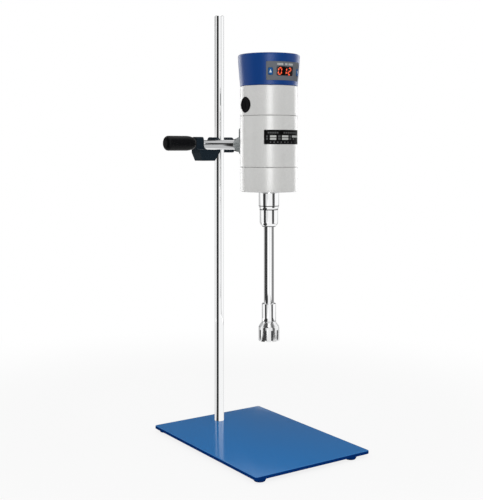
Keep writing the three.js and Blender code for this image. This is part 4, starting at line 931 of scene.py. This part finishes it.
def makeLabel():
    middle, half = middleAndHalf(label.bottom, label.top)
    outline = roundedBox(arc(label.halfAngle), half, label.corner - 0.2)
    body = onCasing(outline, -label.thick, 0, 0, middle, 0.12)
    finishPiece("ratingPlate", body, "labelFilm", "label_plate")

    def mark(low, high, bottom, top):
        form = roundedBox(arc(high - low) / 2, (top - bottom) / 2, 0.3)
        return onCasing(form, -0.02, label.ink, arc((low + high) / 2), (bottom + top) / 2)

    # Two rows of blank fields, and rows of plain blocks for the print about them
    m = labelMarks
    fields = [mark(low, high, *row) for low, high in m.fields for row in labelRows]
    fields += [mark(*m.wideField, *labelRows[0])]
    blocks = [mark(low, high, *row) for low, high in m.words for row in labelRows]
    for starts, width, row in ((m.shortWords, m.shortWidth, headRow), (m.longWords, m.longWidth, headRow),
                               (m.lastWords, m.lastWidth, labelRows[1])):
        blocks += [mark(low, low + width, *row) for low in starts]
    blocks += [mark(middle - m.signReach, middle + m.signReach, *footRow) for middle in m.signs]
    finishPiece("labelFields", joined(fields), "paleInk", body=bodyOf["label_plate"])
    finishPiece("labelBlocks", joined(blocks), "dimInk", body=bodyOf["label_plate"])


makeCasing()
makeBrushCaps()
makeLabel()
print("casing built")

# Control head with its panel, window, digits, keys and rear fittings
head = Sizes(
    bottom=161.75, top=210.4, wall=3, round=5, flare=3.35, crown=0.5,
    panelBottom=168.6, panelTop=196.6, panelAngle=40.5, panelThick=1.2, panelCorner=1.5,
    windowBottom=175.6, windowTop=189.1, windowAngle=18.2, windowTurn=-2.5, ledge=0.8,
    digitHeight=9.3, digitWidth=4.9, stroke=1.8, digitPitch=8.6, slant=0.09, digitShift=-1.7,
    keyCut=(36, 52), switchCut=(30, 55), switchHole=(7.6, 10.8), switchBoss=(10.1, 13.3, 2.8),
    words=((-20.2, 2.5, 4), (-4.4, 2.2, 2), (3.2, 2.4, 4)), wordGap=0.5, wordHalf=1.5, wordHeight=192.5,
    flareEnd=0.89, innerShares=(0.85, 0.2, 0), roofInset=9, roofRise=0.12, backing=(-3.4, -2.4), segments=(-2.35, -2.2),
    keySlack=0.4, panelSlack=0.35, recessSlack=0.25,
)
# How the head widens: shares of its height and of its flare
headShape = (
    (0, 0), (0.08, 0.1), (0.16, 0.2), (0.27, 0.36), (0.38, 0.52), (0.51, 0.66), (0.635, 0.79), (0.76, 0.9), (0.89, 1.0),
    (0.93, 1.0),
)
key = Sizes(width=6.6, height=10.6, corner=1.2, angle=32.5, face=46.8, depth=7, axis=181.76,
            arrow=((-2.0, -2.1), (0, 2.9), (2.0, -2.1)))


def headRadius(z):
    share = (z - head.bottom) / (head.top - head.bottom)
    for (low, first), (high, last) in zip(headShape, headShape[1:]):
        if share <= high:
            part = max(0.0, (share - low) / (high - low))
            return casing.radius + head.flare * (first + part * (last - first))
    return casing.radius + head.flare


def onHead(outline, inner, outer, middleX, middleZ, edge=0):
    form = upright(outline, inner, outer, middleX, middleZ, edge)
    heights = [head.bottom + point[0] * (head.top - head.bottom) for point in headShape[:-1]]
    heights = [height for height in heights if head.panelBottom < height < head.panelTop]
    return wrapped(form, headRadius, heights)


def atKey(side):
    return motorPlace @ Matrix.Rotation(side * math.radians(key.angle), 4, "Z")


def keyForm(margin, inner, outer, side, edge=0):
    outline = roundedBox(key.width / 2 + margin, key.height / 2 + margin, key.corner + margin, 6)
    form = upright(outline, -outer, -inner, 0, key.axis, edge)
    form.transform(atKey(side))
    return tidyMesh(form)


def makeHead():
    h, c = head, casing
    span = h.top - h.bottom
    outline = []
    for step in range(25):
        z = h.bottom + span * h.flareEnd * step / 24
        outline.append((headRadius(z), z, 0.5 if step == 0 else 0))
    wide = c.radius + h.flare
    shoulder = h.top - h.crown
    outline += [(wide, shoulder, h.round), (wide - h.roofInset, h.top - h.roofRise, 3), (0, h.top, 0)]
    outline += [(0, h.top - h.wall, 0), (wide - h.round, h.top - h.wall, 2)]
    inner = [h.bottom + span * share for share in h.innerShares]
    outline += [(headRadius(z) - h.wall, z, 0) for z in inner]
    ring = [entry if entry[0] > 0 else (0.001, *entry[1:]) for entry in outline]
    body = turned(ring, motorPlace, 0.2, 256, 8)

    middle, half = middleAndHalf(h.panelBottom, h.panelTop)
    spread = arc(h.panelAngle)
    recessOutline = roundedBox(spread + gap, half + gap, h.panelCorner + 0.2)
    cuts = [onHead(recessOutline, -h.panelThick - h.recessSlack, 3, 0, middle)]
    windowMiddle, windowHalf = middleAndHalf(h.windowBottom, h.windowTop)
    windowSpread, windowX = arc(h.windowAngle), arc(h.windowTurn)
    opening = roundedBox(windowSpread - h.ledge, windowHalf - h.ledge, 1)
    cuts.append(onHead(opening, -6, 3, windowX, windowMiddle))
    cuts += [keyForm(h.keySlack, *h.keyCut, side) for side in (-1, 1)]
    across, up = h.switchHole
    switchHole = box(-across, across, *h.switchCut, key.axis - up, key.axis + up, motorPlace)
    boss = slab(roundedBox(*h.switchBoss), c.radius - h.wall, wide, onAxis(key.axis, alongY), 0.6)
    body = combined(combined(body, [boss], "UNION"), cuts + [switchHole])
    finishPiece("controlHead", body, "coverBlue", "control_head")

    face = onHead(roundedBox(spread, half, h.panelCorner), -h.panelThick, 0, 0, middle, 0.15)
    holes = [onHead(roundedBox(windowSpread + 0.2, windowHalf + 0.2, 1.2), -3, 3, windowX, windowMiddle)]
    holes += [keyForm(h.panelSlack, *h.keyCut, side) for side in (-1, 1)]
    finishPiece("headPanel", combined(face, holes), "panelFilm", "head_panel")
    glass = onHead(roundedBox(windowSpread, windowHalf, 1.1), -h.panelThick, -closeGap, windowX, windowMiddle, 0.15)
    finishPiece("displayWindow", glass, "smokedPane", "display_window")
    backing = onHead(roundedBox(windowSpread - 1, windowHalf - 1, 0.8), *h.backing, windowX, windowMiddle)
    finishPiece("displayBacking", backing, "labelFilm", slot="black_plastic", body=bodyOf["display_module"])

    # Short blocks where the photo has three small words
    blocks = []
    for low, width, count in h.words:
        for index in range(count):
            form = roundedBox(arc(width) / 2, h.wordHalf, 0.3)
            middleX = arc(low + (index + 0.5) * (width + h.wordGap))
            blocks.append(onHead(form, -0.02, closeGap, middleX, h.wordHeight))
    finishPiece("panelBlocks", joined(blocks), "paleInk", slot="panel_grey", body=bodyOf["head_panel"])
    segments = joined(segmentMeshes(windowMiddle))
    finishPiece("displaySegments", segments, "litSegments", slot="window", body=bodyOf["display_module"])


# Three digits of seven bars, lit as 0, 1 and 2
def segmentMeshes(middle):
    h = head
    half, rise, stroke = h.digitWidth / 2, h.digitHeight / 2, h.stroke / 2
    top, middleBar, bottom = (0, 1), (0, 0), (0, -1)
    upperLeft, upperRight, lowerLeft, lowerRight = (-1, 0.5), (1, 0.5), (-1, -0.5), (1, -0.5)
    lit = ((top, bottom, upperLeft, upperRight, lowerLeft, lowerRight), (upperRight, lowerRight),
           (top, upperRight, middleBar, lowerLeft, bottom))
    shapes = []
    for index, bars in enumerate(lit):
        for across, up in bars:
            x, z, level = across * half, up * rise, across == 0
            reach = (half if level else rise / 2) - stroke * 0.6
            points = [(-reach, 0), (-reach + stroke, -stroke), (reach - stroke, -stroke), (reach, 0),
                      (reach - stroke, stroke), (-reach + stroke, stroke)]
            if not level:
                points = [(-v, u) for u, v in points]
            outline = []
            for u, v in points:
                outline.append((u + x + h.slant * (v + z) + (index - 1) * h.digitPitch + h.digitShift, v + z))
            shapes.append(onHead(outline, *h.segments, 0, middle))
    return shapes


def makeKeys():
    for name, side in (("up", -1), ("down", 1)):
        body = keyForm(0, key.face - key.depth, key.face, side, 0.5)
        finishPiece(name + "Key", body, "keyPlastic", name + "_button")
        mark = upright([(x, -z * side) for x, z in key.arrow], -key.face - 0.03, -key.face + 0.1, 0, key.axis)
        mark.transform(atKey(side))
        finishPiece(name + "Arrow", tidyMesh(mark), "keyMark", body=bodyOf[name + "_button"])


makeHead()
makeKeys()
print("head built")

# Rear switch and the cord's inlet
rocker = Sizes(
    width=10.6, height=17, frame=2, lip=4, flange=1.2, depth=13, proud=2.2, floor=3, tilt=8, dip=1.6, face=48,
    markRise=4.6, markReach=1.6, markInner=1.0, barHalf=0.35,
)
gland = Sizes(
    radius=7, bore=2.8, flare=1.2, nut=9.5, nutThick=5, seat=44.65, tip=59.35, length=19.1, flutes=24, fluteWidth=0.9,
    fluteDepth=0.45,
)


def makeRearFittings():
    r = rocker
    halfWidth, halfHeight = r.width / 2, r.height / 2
    inner, outer = r.face - r.depth, r.face + r.flange
    place = onAxis(key.axis)
    flat = place @ alongY
    frameBody = slab(roundedBox(halfWidth + r.lip, halfHeight + r.lip, 2), r.face - gap, outer, flat, 0.4)
    sleeveBody = slab(roundedBox(halfWidth + r.frame, halfHeight + r.frame, 0.8), inner, outer - 0.5, flat)
    well = slab(roundedBox(halfWidth + gap, halfHeight + 0.6, 0.4), inner + r.floor, outer + 5, flat)
    finishPiece("rockerFrame", combined(combined(frameBody, [sleeveBody], "UNION"), [well]), "handlePlastic",
                "rocker_frame")
    pivot = outer - r.depth / 2
    rise = r.depth / 2 + r.proud
    lean = halfHeight * math.tan(math.radians(r.tilt))
    shoulder = halfHeight - r.proud / 2
    outline = [(-r.floor, -halfHeight / 2)]
    for step in range(13):
        across = -1 + step / 6
        outline.append((rise - lean * (r.dip - (r.dip - 1) * across * across), across * shoulder))
    outline.append((-r.floor, halfHeight / 2))
    body = slab(eased(outline, 0.4, True, 3), -halfWidth, halfWidth, None, 0.35)
    tilt = Matrix.Rotation(math.radians(-r.tilt), 4, "X")
    body.transform(place @ shifted(0, pivot, 0) @ tilt @ alongX)
    finishPiece("rockerSwitch", tidyMesh(body), "handlePlastic", "rocker_switch")
    face = place @ shifted(0, pivot, 0) @ tilt @ alongY
    level = rise - lean * (r.dip - (r.dip - 1) * (r.markRise / shoulder) ** 2)
    low, high = level - 0.4, level + 0.06
    bar = slab(roundedBox(r.barHalf, r.markReach, 0.2), low, high)
    bar.transform(face @ shifted(0, -r.markRise, 0))
    ring = turned(post(r.markReach, low, high, r.markInner), None, 0, 32)
    ring.transform(face @ shifted(0, r.markRise, 0))
    marks = joined([bar, ring])
    finishPiece("rockerMarks", marks, "keyMark", slot="black_plastic", body=bodyOf["rocker_switch"])

    g = gland
    outline = [
        (g.bore, g.tip - g.length), (g.radius, g.tip - g.length), (g.radius, g.seat),
        (g.nut, g.seat, 0.3), (g.nut, g.seat + g.nutThick, 0.8), (g.radius, g.seat + g.nutThick),
        (g.radius, g.tip - 4, 1.5), (g.bore + g.flare, g.tip, 0.6), (g.bore, g.tip - 1, 0.3),
    ]
    body = turned(outline, None, 0.2, 96)
    sizes = dict(Near=g.nut - g.fluteDepth, Far=g.nut + 2, Width=g.fluteWidth, Bottom=g.seat + 0.9,
                 Top=g.seat + g.nutThick + 1)
    body = grown(body, slotCutter, "handlePlastic", sizes, {"Count": g.flutes, "Turn": 0.5})
    body.transform(onAxis(casing.glandAxis, alongY))
    finishPiece("cordInlet", body, "handlePlastic", "cable_gland")


makeRearFittings()
print("rear fittings built")

# Dispersing tool, in heights below the nose
tool = Sizes(
    sleeveRadius=16.15, sleeveBottom=-21.6, neck=15.5, neckBottom=-27.1, thread=12, threadBottom=-41.1, bore=9,
    collarRadius=14.5, collarTop=-27.4, collarBottom=-54.1, collarTaper=8.6, collarLip=10.3, seal=0.9,
    tubeRadius=8, tubeInner=6.4, tubeEnd=-184, flangeRadius=11.5, flangeTop=-41.4, flangeBottom=-44.7,
    ferruleRadius=11.2, ferruleTop=-172.3, ferruleBottom=-199.3, spigot=9, spigotLength=5, passage=3.6,
    crownRadius=16.2, crownTop=-199.6, crownBottom=-229.4, crownBore=12.6, slots=10, slotWidth=3.2, slotHeight=17.4,
    shaftRadius=3, neckRise=2.6, groove=0.6, ceiling=5.2, shoulder=8.2, ledge=6.2, ledgeInset=1.4, lip=1.6,
)
rotor = Sizes(play=0.5, hub=5.5, hubRise=2, web=2.5, wall=2.5, blades=6, bladeGap=4)


def makeTool():
    t = tool
    recess, lift = casing.recess - gap, casing.recessDepth - gap
    sleeve = [
        (t.bore, lift), (t.bore, t.threadBottom), (t.thread, t.threadBottom, 0.5),
        (t.thread, t.neckBottom), (t.neck - 1.0, t.neckBottom, 0.3), (t.neck, t.neckBottom + t.neckRise, 3),
        (t.neck, t.sleeveBottom - 1), (t.neck - t.groove, t.sleeveBottom - 1),
        (t.neck - t.groove, t.sleeveBottom), (t.sleeveRadius, t.sleeveBottom, 0.3),
        (t.sleeveRadius, -gap, 0.4), (recess, -gap), (recess, lift),
    ]
    finishPiece("couplingSleeve", turned(sleeve, motorPlace, 0.2, 128), "chromePlate", "coupling_sleeve")
    inside, low = t.thread + 0.4, t.flangeBottom - gap
    # The collar is shortened at top and bottom to make room for the black rings of painted shade
    bore, lip, bottom = t.tubeRadius + 0.4, t.collarLip, t.collarBottom + t.seal
    rounded = []
    for angle in quarter(12):
        reach, drop = (t.collarRadius - lip) * math.sin(angle), (t.collarTaper - t.seal) * math.cos(angle)
        rounded.append((lip + reach, t.collarBottom + t.collarTaper - drop, 0))
    collar = [(inside, low), (bore, low), (bore, bottom)] + rounded
    collar += [(t.collarRadius, t.collarTop - t.seal), (inside, t.collarTop - t.seal)]
    finishPiece("lockCollar", turned(collar, motorPlace, 0.2, 128), "chromePlate", "lock_collar")

    # Black rings in the joints above, within and below the collar: painted shade, dark lines put where the gaps fall
    # into shadow
    shadeRings = (("sleeveSeal", "coupling_sleeve", t.neck - t.groove, t.neck + gap, t.sleeveBottom, 0.8),
             ("collarSeal", "lock_collar", inside, t.collarRadius - 0.2, t.collarTop - 0.02, t.seal - 0.04),
             ("collarFoot", "lock_collar", bore, lip + 0.15, bottom - 0.02, t.seal - 0.04))
    for name, owner, inner, outer, top, thick in shadeRings:
        seal = turned(post(outer, top - thick, top, inner), motorPlace, 0.15, 128)
        finishPiece(name, seal, "handlePlastic", body=bodyOf[owner])
    tube = [
        (t.tubeInner, t.tubeEnd), (t.tubeRadius, t.tubeEnd), (t.tubeRadius, t.flangeBottom, 0.6),
        (t.flangeRadius, t.flangeBottom), (t.flangeRadius, t.flangeTop), (t.tubeInner, t.flangeTop),
    ]
    finishPiece("toolTube", turned(tube, motorPlace, 0.2, 96), "chromePlate", "tool_tube")
    seat = t.tubeEnd - gap
    ferrule = [
        (t.tubeRadius + closeGap, t.ferruleTop), (t.tubeRadius + closeGap, seat), (t.passage, seat),
        (t.passage, t.ferruleBottom - t.spigotLength), (t.spigot, t.ferruleBottom - t.spigotLength),
        (t.spigot, t.ferruleBottom), (t.ferruleRadius, t.ferruleBottom, 0.3),
        (t.ferruleRadius, t.ferruleTop, 1.4),
    ]
    finishPiece("toolFerrule", turned(ferrule, motorPlace, 0.2, 96), "chromePlate", "tool_ferrule")

    floor = t.crownTop - t.spigotLength
    roof = floor - t.ceiling
    crown = [
        (t.spigot + gap, t.crownTop), (t.spigot + gap, floor), (t.passage, floor), (t.passage, roof),
        (t.crownBore, roof, 0.8), (t.crownBore, t.crownBottom, 0.3), (t.crownRadius, t.crownBottom, 0.5),
        (t.crownRadius, t.crownTop - t.shoulder, 2.5), (t.crownRadius - t.ledgeInset, t.crownTop - t.ledge, 2),
        (t.ferruleRadius, t.crownTop - t.lip, 1.5), (t.ferruleRadius, t.crownTop, 0.3),
    ]
    body = turned(crown, motorPlace, 0.2, 160)
    sizes = dict(Near=t.crownBore - 2, Far=t.crownRadius + 2, Width=t.slotWidth, Bottom=t.crownBottom - 3,
                 Top=t.crownBottom + t.slotHeight)
    body = grown(body, slotCutter, "satinSteel", sizes, {"Count": t.slots, "Centre": motorPlace.translation})
    finishPiece("statorCrown", body, "satinSteel", "stator_head")

    r = rotor
    radius, low, high = t.crownBore - r.play, t.crownBottom + 1, roof - 1
    web, shaft, inside = high - r.web, t.shaftRadius + gap, radius - r.wall
    outline = [
        (shaft, low + r.hubRise), (r.hub, low + r.hubRise), (r.hub, web), (inside, web, 0.6), (inside, low),
        (radius, low, 0.4), (radius, high, 0.6), (shaft, high),
    ]
    body = turned(outline, motorPlace, 0.2, 128)
    sizes = dict(Near=inside - 1, Far=radius + 2, Width=r.bladeGap, Bottom=low - 2, Top=web)
    body = grown(body, slotCutter, "rotorSteel", sizes, {"Count": r.blades, "Centre": motorPlace.translation})
    finishPiece("rotorHead", body, "rotorSteel", "rotor_head")


makeTool()
print("tool built")

# The hidden solids keep their shape and get their own finish
for node, solid in frame["nodes"].items():
    if solid.hide_render:
        continue
    solid.data.materials.clear()
    solid.data.materials.append(materials[finishOfSlot[slotOf[node]]])
print("hidden pieces finished")

# Floor, light and camera. Across and away are the camera's own level directions.
across = Vector((0.8305, -0.557, 0))
away = Vector((0.557, 0.8305, 0))
studio = Sizes(
    floorSize=12, floorTone=0.8, floorGlow=0.84, shadowNear=0.35, shadowFar=0.9, nearFloor=0.72, ambient=0.62,
    horizonLow=0.0, horizonHigh=0.08, above=0.12, overheadLow=0.45, overheadHigh=0.62, behind=156, behindEdge=8,
    bandEdge=2.5, armLine=(-138, -98), armLineLow=0.06, armLineHigh=0.36, armLineTone=0.0,
    armLineEdge=4, armLineBlur=0.02, grain=300.0,
)


def card(bearing, height, size, strength, only, diffuse=False):
    return Sizes(bearing=bearing, distance=0.7, height=height, size=size, strength=strength, only=only, diffuse=diffuse)


lamps = dict(
    softbox=Sizes(bearing=-1, distance=1.6, height=0.66, size=(0.55, 1.1), strength=4.2, glossy=False),
    stripe=Sizes(bearing=3, distance=1.6, height=0.6, size=(0.6, 1.5), strength=6.5, diffuse=False, only="casing"),
    topLight=Sizes(bearing=0, distance=0.0, height=1.9, size=(1.6, 1.6), strength=0.9),
    rimLeft=Sizes(bearing=-139, distance=1.5, height=0.6, size=(0.8, 1.5), strength=3, only="edges"),
    rimRight=Sizes(bearing=139, distance=1.5, height=0.6, size=(0.8, 1.5), strength=3, only="edges"),
    toolCard=card(-24.5, 0.3, (0.31, 0.6), 0.75, "tool", True),
    rodCard=card(51.5, 0.6, (0.36, 1.2), 0.7, "rod", True),
    rodLeft=card(-89.5, 0.6, (0.5, 1.2), 1, "rod"),
    rodRight=card(97, 0.6, (0.84, 1.2), 0.8, "rod"),
    leftCard=card(-88, 0.45, (0.51, 0.9), 1, "wide"),
    rightCard=card(97, 0.45, (0.84, 0.9), 0.8, "wide"),
    tubeCard=card(51.5, 0.3, (0.36, 0.6), 0.9, "tube"),
)
toolPieces = ["couplingSleeve", "lockCollar", "toolFerrule", "statorCrown"]
casingPieces = ["noseHousing", "motorShell", "brushHousing", "controlHead"]
litPieces = dict(
    rod=["supportRod"], tool=[*toolPieces, "toolTube"], tube=["toolTube"], casing=casingPieces,
    edges=[*casingPieces, "armBracket"], wide=[*casingPieces, *toolPieces],
)
# Dark and grey parts of the white studio as metal sees them: bearings in degrees, tone, and use near the rod
bands = (
    (-69, -12, 0.04, 1), (-108, -69, 0.04, 0), (37, 66, 0.08, 0), (66, 128, 0.25, 0), (128, 150, 0.65, 1),
    (-150, -108, 0.6, 1),
)
view = Sizes(place=(-0.849, -1.220, 0.4743), turn=-33.84, lens=66.2, sensor=36, rise=-0.2)


def between(tree, value, low, high, edge):
    rise = ranged(tree, value, low - edge, low + edge)
    return times(tree, rise, ranged(tree, value, high - edge, high + edge, 1.0, 0.0))


# Takes a tone down to a level where the mask is full
def dimmed(tree, tone, mask, level):
    return times(tree, tone, compute(tree, "MULTIPLY_ADD", mask, level - 1, 1.0))


def studioTone():
    tree, given, result = newTree("studioTone", "ShaderNodeTree", dict(Direction="Vector", Far=1.0),
                                  dict(Tone="Float", Bearing="Float"))
    side = vector(tree, "DOT_PRODUCT", given["Direction"], across)
    depth = vector(tree, "DOT_PRODUCT", given["Direction"], -away)
    bearing = compute(tree, "DEGREES", compute(tree, "ARCTAN2", side, depth))
    tone = 1.0
    for low, high, value, near in bands:
        inside = between(tree, bearing, low, high, studio.bandEdge)
        if not near:
            inside = times(tree, inside, given["Far"])
        tone = dimmed(tree, tone, inside, value)
    preset(result, {"Tone": tone, "Bearing": bearing})
    return tree


def makeFloor(toneTree):
    size = studio.floorSize / 2
    mesh = bpy.data.meshes.new("floor")
    mesh.from_pydata([(-size, -size, 0), (size, -size, 0), (size, size, 0), (-size, size, 0)], [], [(0, 1, 2, 3)])
    floor = addObject("floor", mesh)
    tree, shader = newMaterial("paleFloor")
    grain = put(tree, "ShaderNodeTexNoise", {"Vector": objectPlace(tree), "Scale": studio.grain}).outputs["Fac"]
    shade = blended(tree, grain, [studio.floorTone] * 3, [studio.floorTone * 1.02] * 3)
    preset(shader, {"Base Color": shade, "Roughness": 0.9, "Specular IOR Level": 0.1})

    # The camera sees a white floor that keeps a soft shadow near the object
    fromRod = vector(tree, "SUBTRACT", objectPlace(tree), rodCentre * Vector((1, 1, 0)))
    distance = vector(tree, "LENGTH", fromRod)
    far = ranged(tree, distance, studio.shadowNear, studio.shadowFar, studio.floorGlow)
    rays = put(tree, "ShaderNodeLightPath").outputs
    beyondNear = compute(tree, "GREATER_THAN", distance, studio.nearFloor)
    tone = grouped(tree, toneTree, Direction=fromRod, Far=beyondNear)["Tone"]
    strength = chosen(tree, rays["Is Glossy Ray"], 1.0, tone)
    share = compute(tree, "MAXIMUM", times(tree, far, rays["Is Camera Ray"]), rays["Is Glossy Ray"])
    white = put(tree, "ShaderNodeEmission", {"Color": (1, 1, 1, 1), "Strength": strength})
    mix = put(tree, "ShaderNodeMixShader", {0: share, 1: shader.outputs[0], 2: white.outputs[0]})
    tree.links.new(mix.outputs[0], tree.nodes["Material Output"].inputs[0])
    mesh.materials.append(materials["paleFloor"])


def makeWorld(toneTree):
    world = bpy.data.worlds.new("studioWorld")
    bpy.context.scene.world = world
    world.use_nodes = True
    tree = world.node_tree
    tree.nodes.clear()
    direction = put(tree, "ShaderNodeTexCoord").outputs["Generated"]
    height = put(tree, "ShaderNodeSeparateXYZ", {0: direction}).outputs["Z"]

    # What metal and gloss see: white with upright bands, and dark where the plate and the cross rod need it
    bandsSeen = grouped(tree, toneTree, Direction=direction)
    bearing = bandsSeen["Bearing"]
    start, end = studio.behind - studio.behindEdge, studio.behind + studio.behindEdge
    beyond = ranged(tree, compute(tree, "ABSOLUTE", bearing), start, end)
    level = times(tree, ranged(tree, height, studio.horizonLow, studio.horizonHigh),
                  ranged(tree, height, studio.overheadLow, studio.overheadHigh, 1.0, 0.0))
    seen = dimmed(tree, bandsSeen["Tone"], times(tree, beyond, level), studio.above)
    line = times(tree, between(tree, bearing, *studio.armLine, studio.armLineEdge),
                 between(tree, height, studio.armLineLow, studio.armLineHigh, studio.armLineBlur))
    seen = dimmed(tree, seen, line, studio.armLineTone)
    rays = put(tree, "ShaderNodeLightPath").outputs
    glossy = chosen(tree, rays["Is Glossy Ray"], studio.ambient, seen)
    final = chosen(tree, rays["Is Camera Ray"], glossy, 1.0)
    shade = put(tree, "ShaderNodeBackground", {"Color": (1, 1, 1, 1), "Strength": final})
    put(tree, "ShaderNodeOutputWorld", {0: shade.outputs[0]})


# Area lights that face the motor; strength is their brightness as a surface
def makeLamps():
    middle = Vector((toolCentre.x, toolCentre.y, 0.4))
    for name, lamp in lamps.items():
        data = bpy.data.lights.new(name, "AREA")
        data.shape = "RECTANGLE"
        data.size, data.size_y = lamp.size
        data.energy = lamp.strength * math.pi * data.size * data.size_y
        piece = addObject(name, data)
        turn = math.radians(lamp.bearing)
        aim = rodCentre if lamp.get("only") == "rod" else middle
        place = (across * math.sin(turn) - away * math.cos(turn)) * lamp.distance
        piece.location = (aim.x + place.x, aim.y + place.y, lamp.height)
        target = (aim.x, aim.y, 0 if lamp.distance == 0 else lamp.height)
        piece.rotation_euler = (Vector(target) - piece.location).to_track_quat("-Z", "Y").to_euler()
        piece.visible_camera = False
        piece.visible_diffuse = lamp.get("diffuse", True)
        piece.visible_glossy = lamp.get("glossy", True)
        if "only" in lamp:
            receivers = bpy.data.collections.new(name + "Receivers")
            for pieceName in litPieces[lamp.only]:
                receivers.objects.link(bpy.data.objects[pieceName])
            piece.light_linking.receiver_collection = receivers


def makeCamera():
    data = bpy.data.cameras.new("camera")
    data.sensor_width = view.sensor
    data.lens = view.lens
    data.shift_y = view.rise
    camera = addObject("camera", data)
    camera.location = view.place
    camera.rotation_euler = (math.radians(90), 0, math.radians(view.turn))
    bpy.context.scene.camera = camera
    bpy.context.scene.view_settings.view_transform = "Standard"


# What metal and gloss shouldn't mirror
for pieceName in ("basePlate", "clampBody", "armHandle", "rodHandle", "controlHead"):
    bpy.data.objects[pieceName].visible_glossy = False
studioTree = studioTone()
makeFloor(studioTree)
makeWorld(studioTree)
makeLamps()
makeCamera()
print("studio ready")
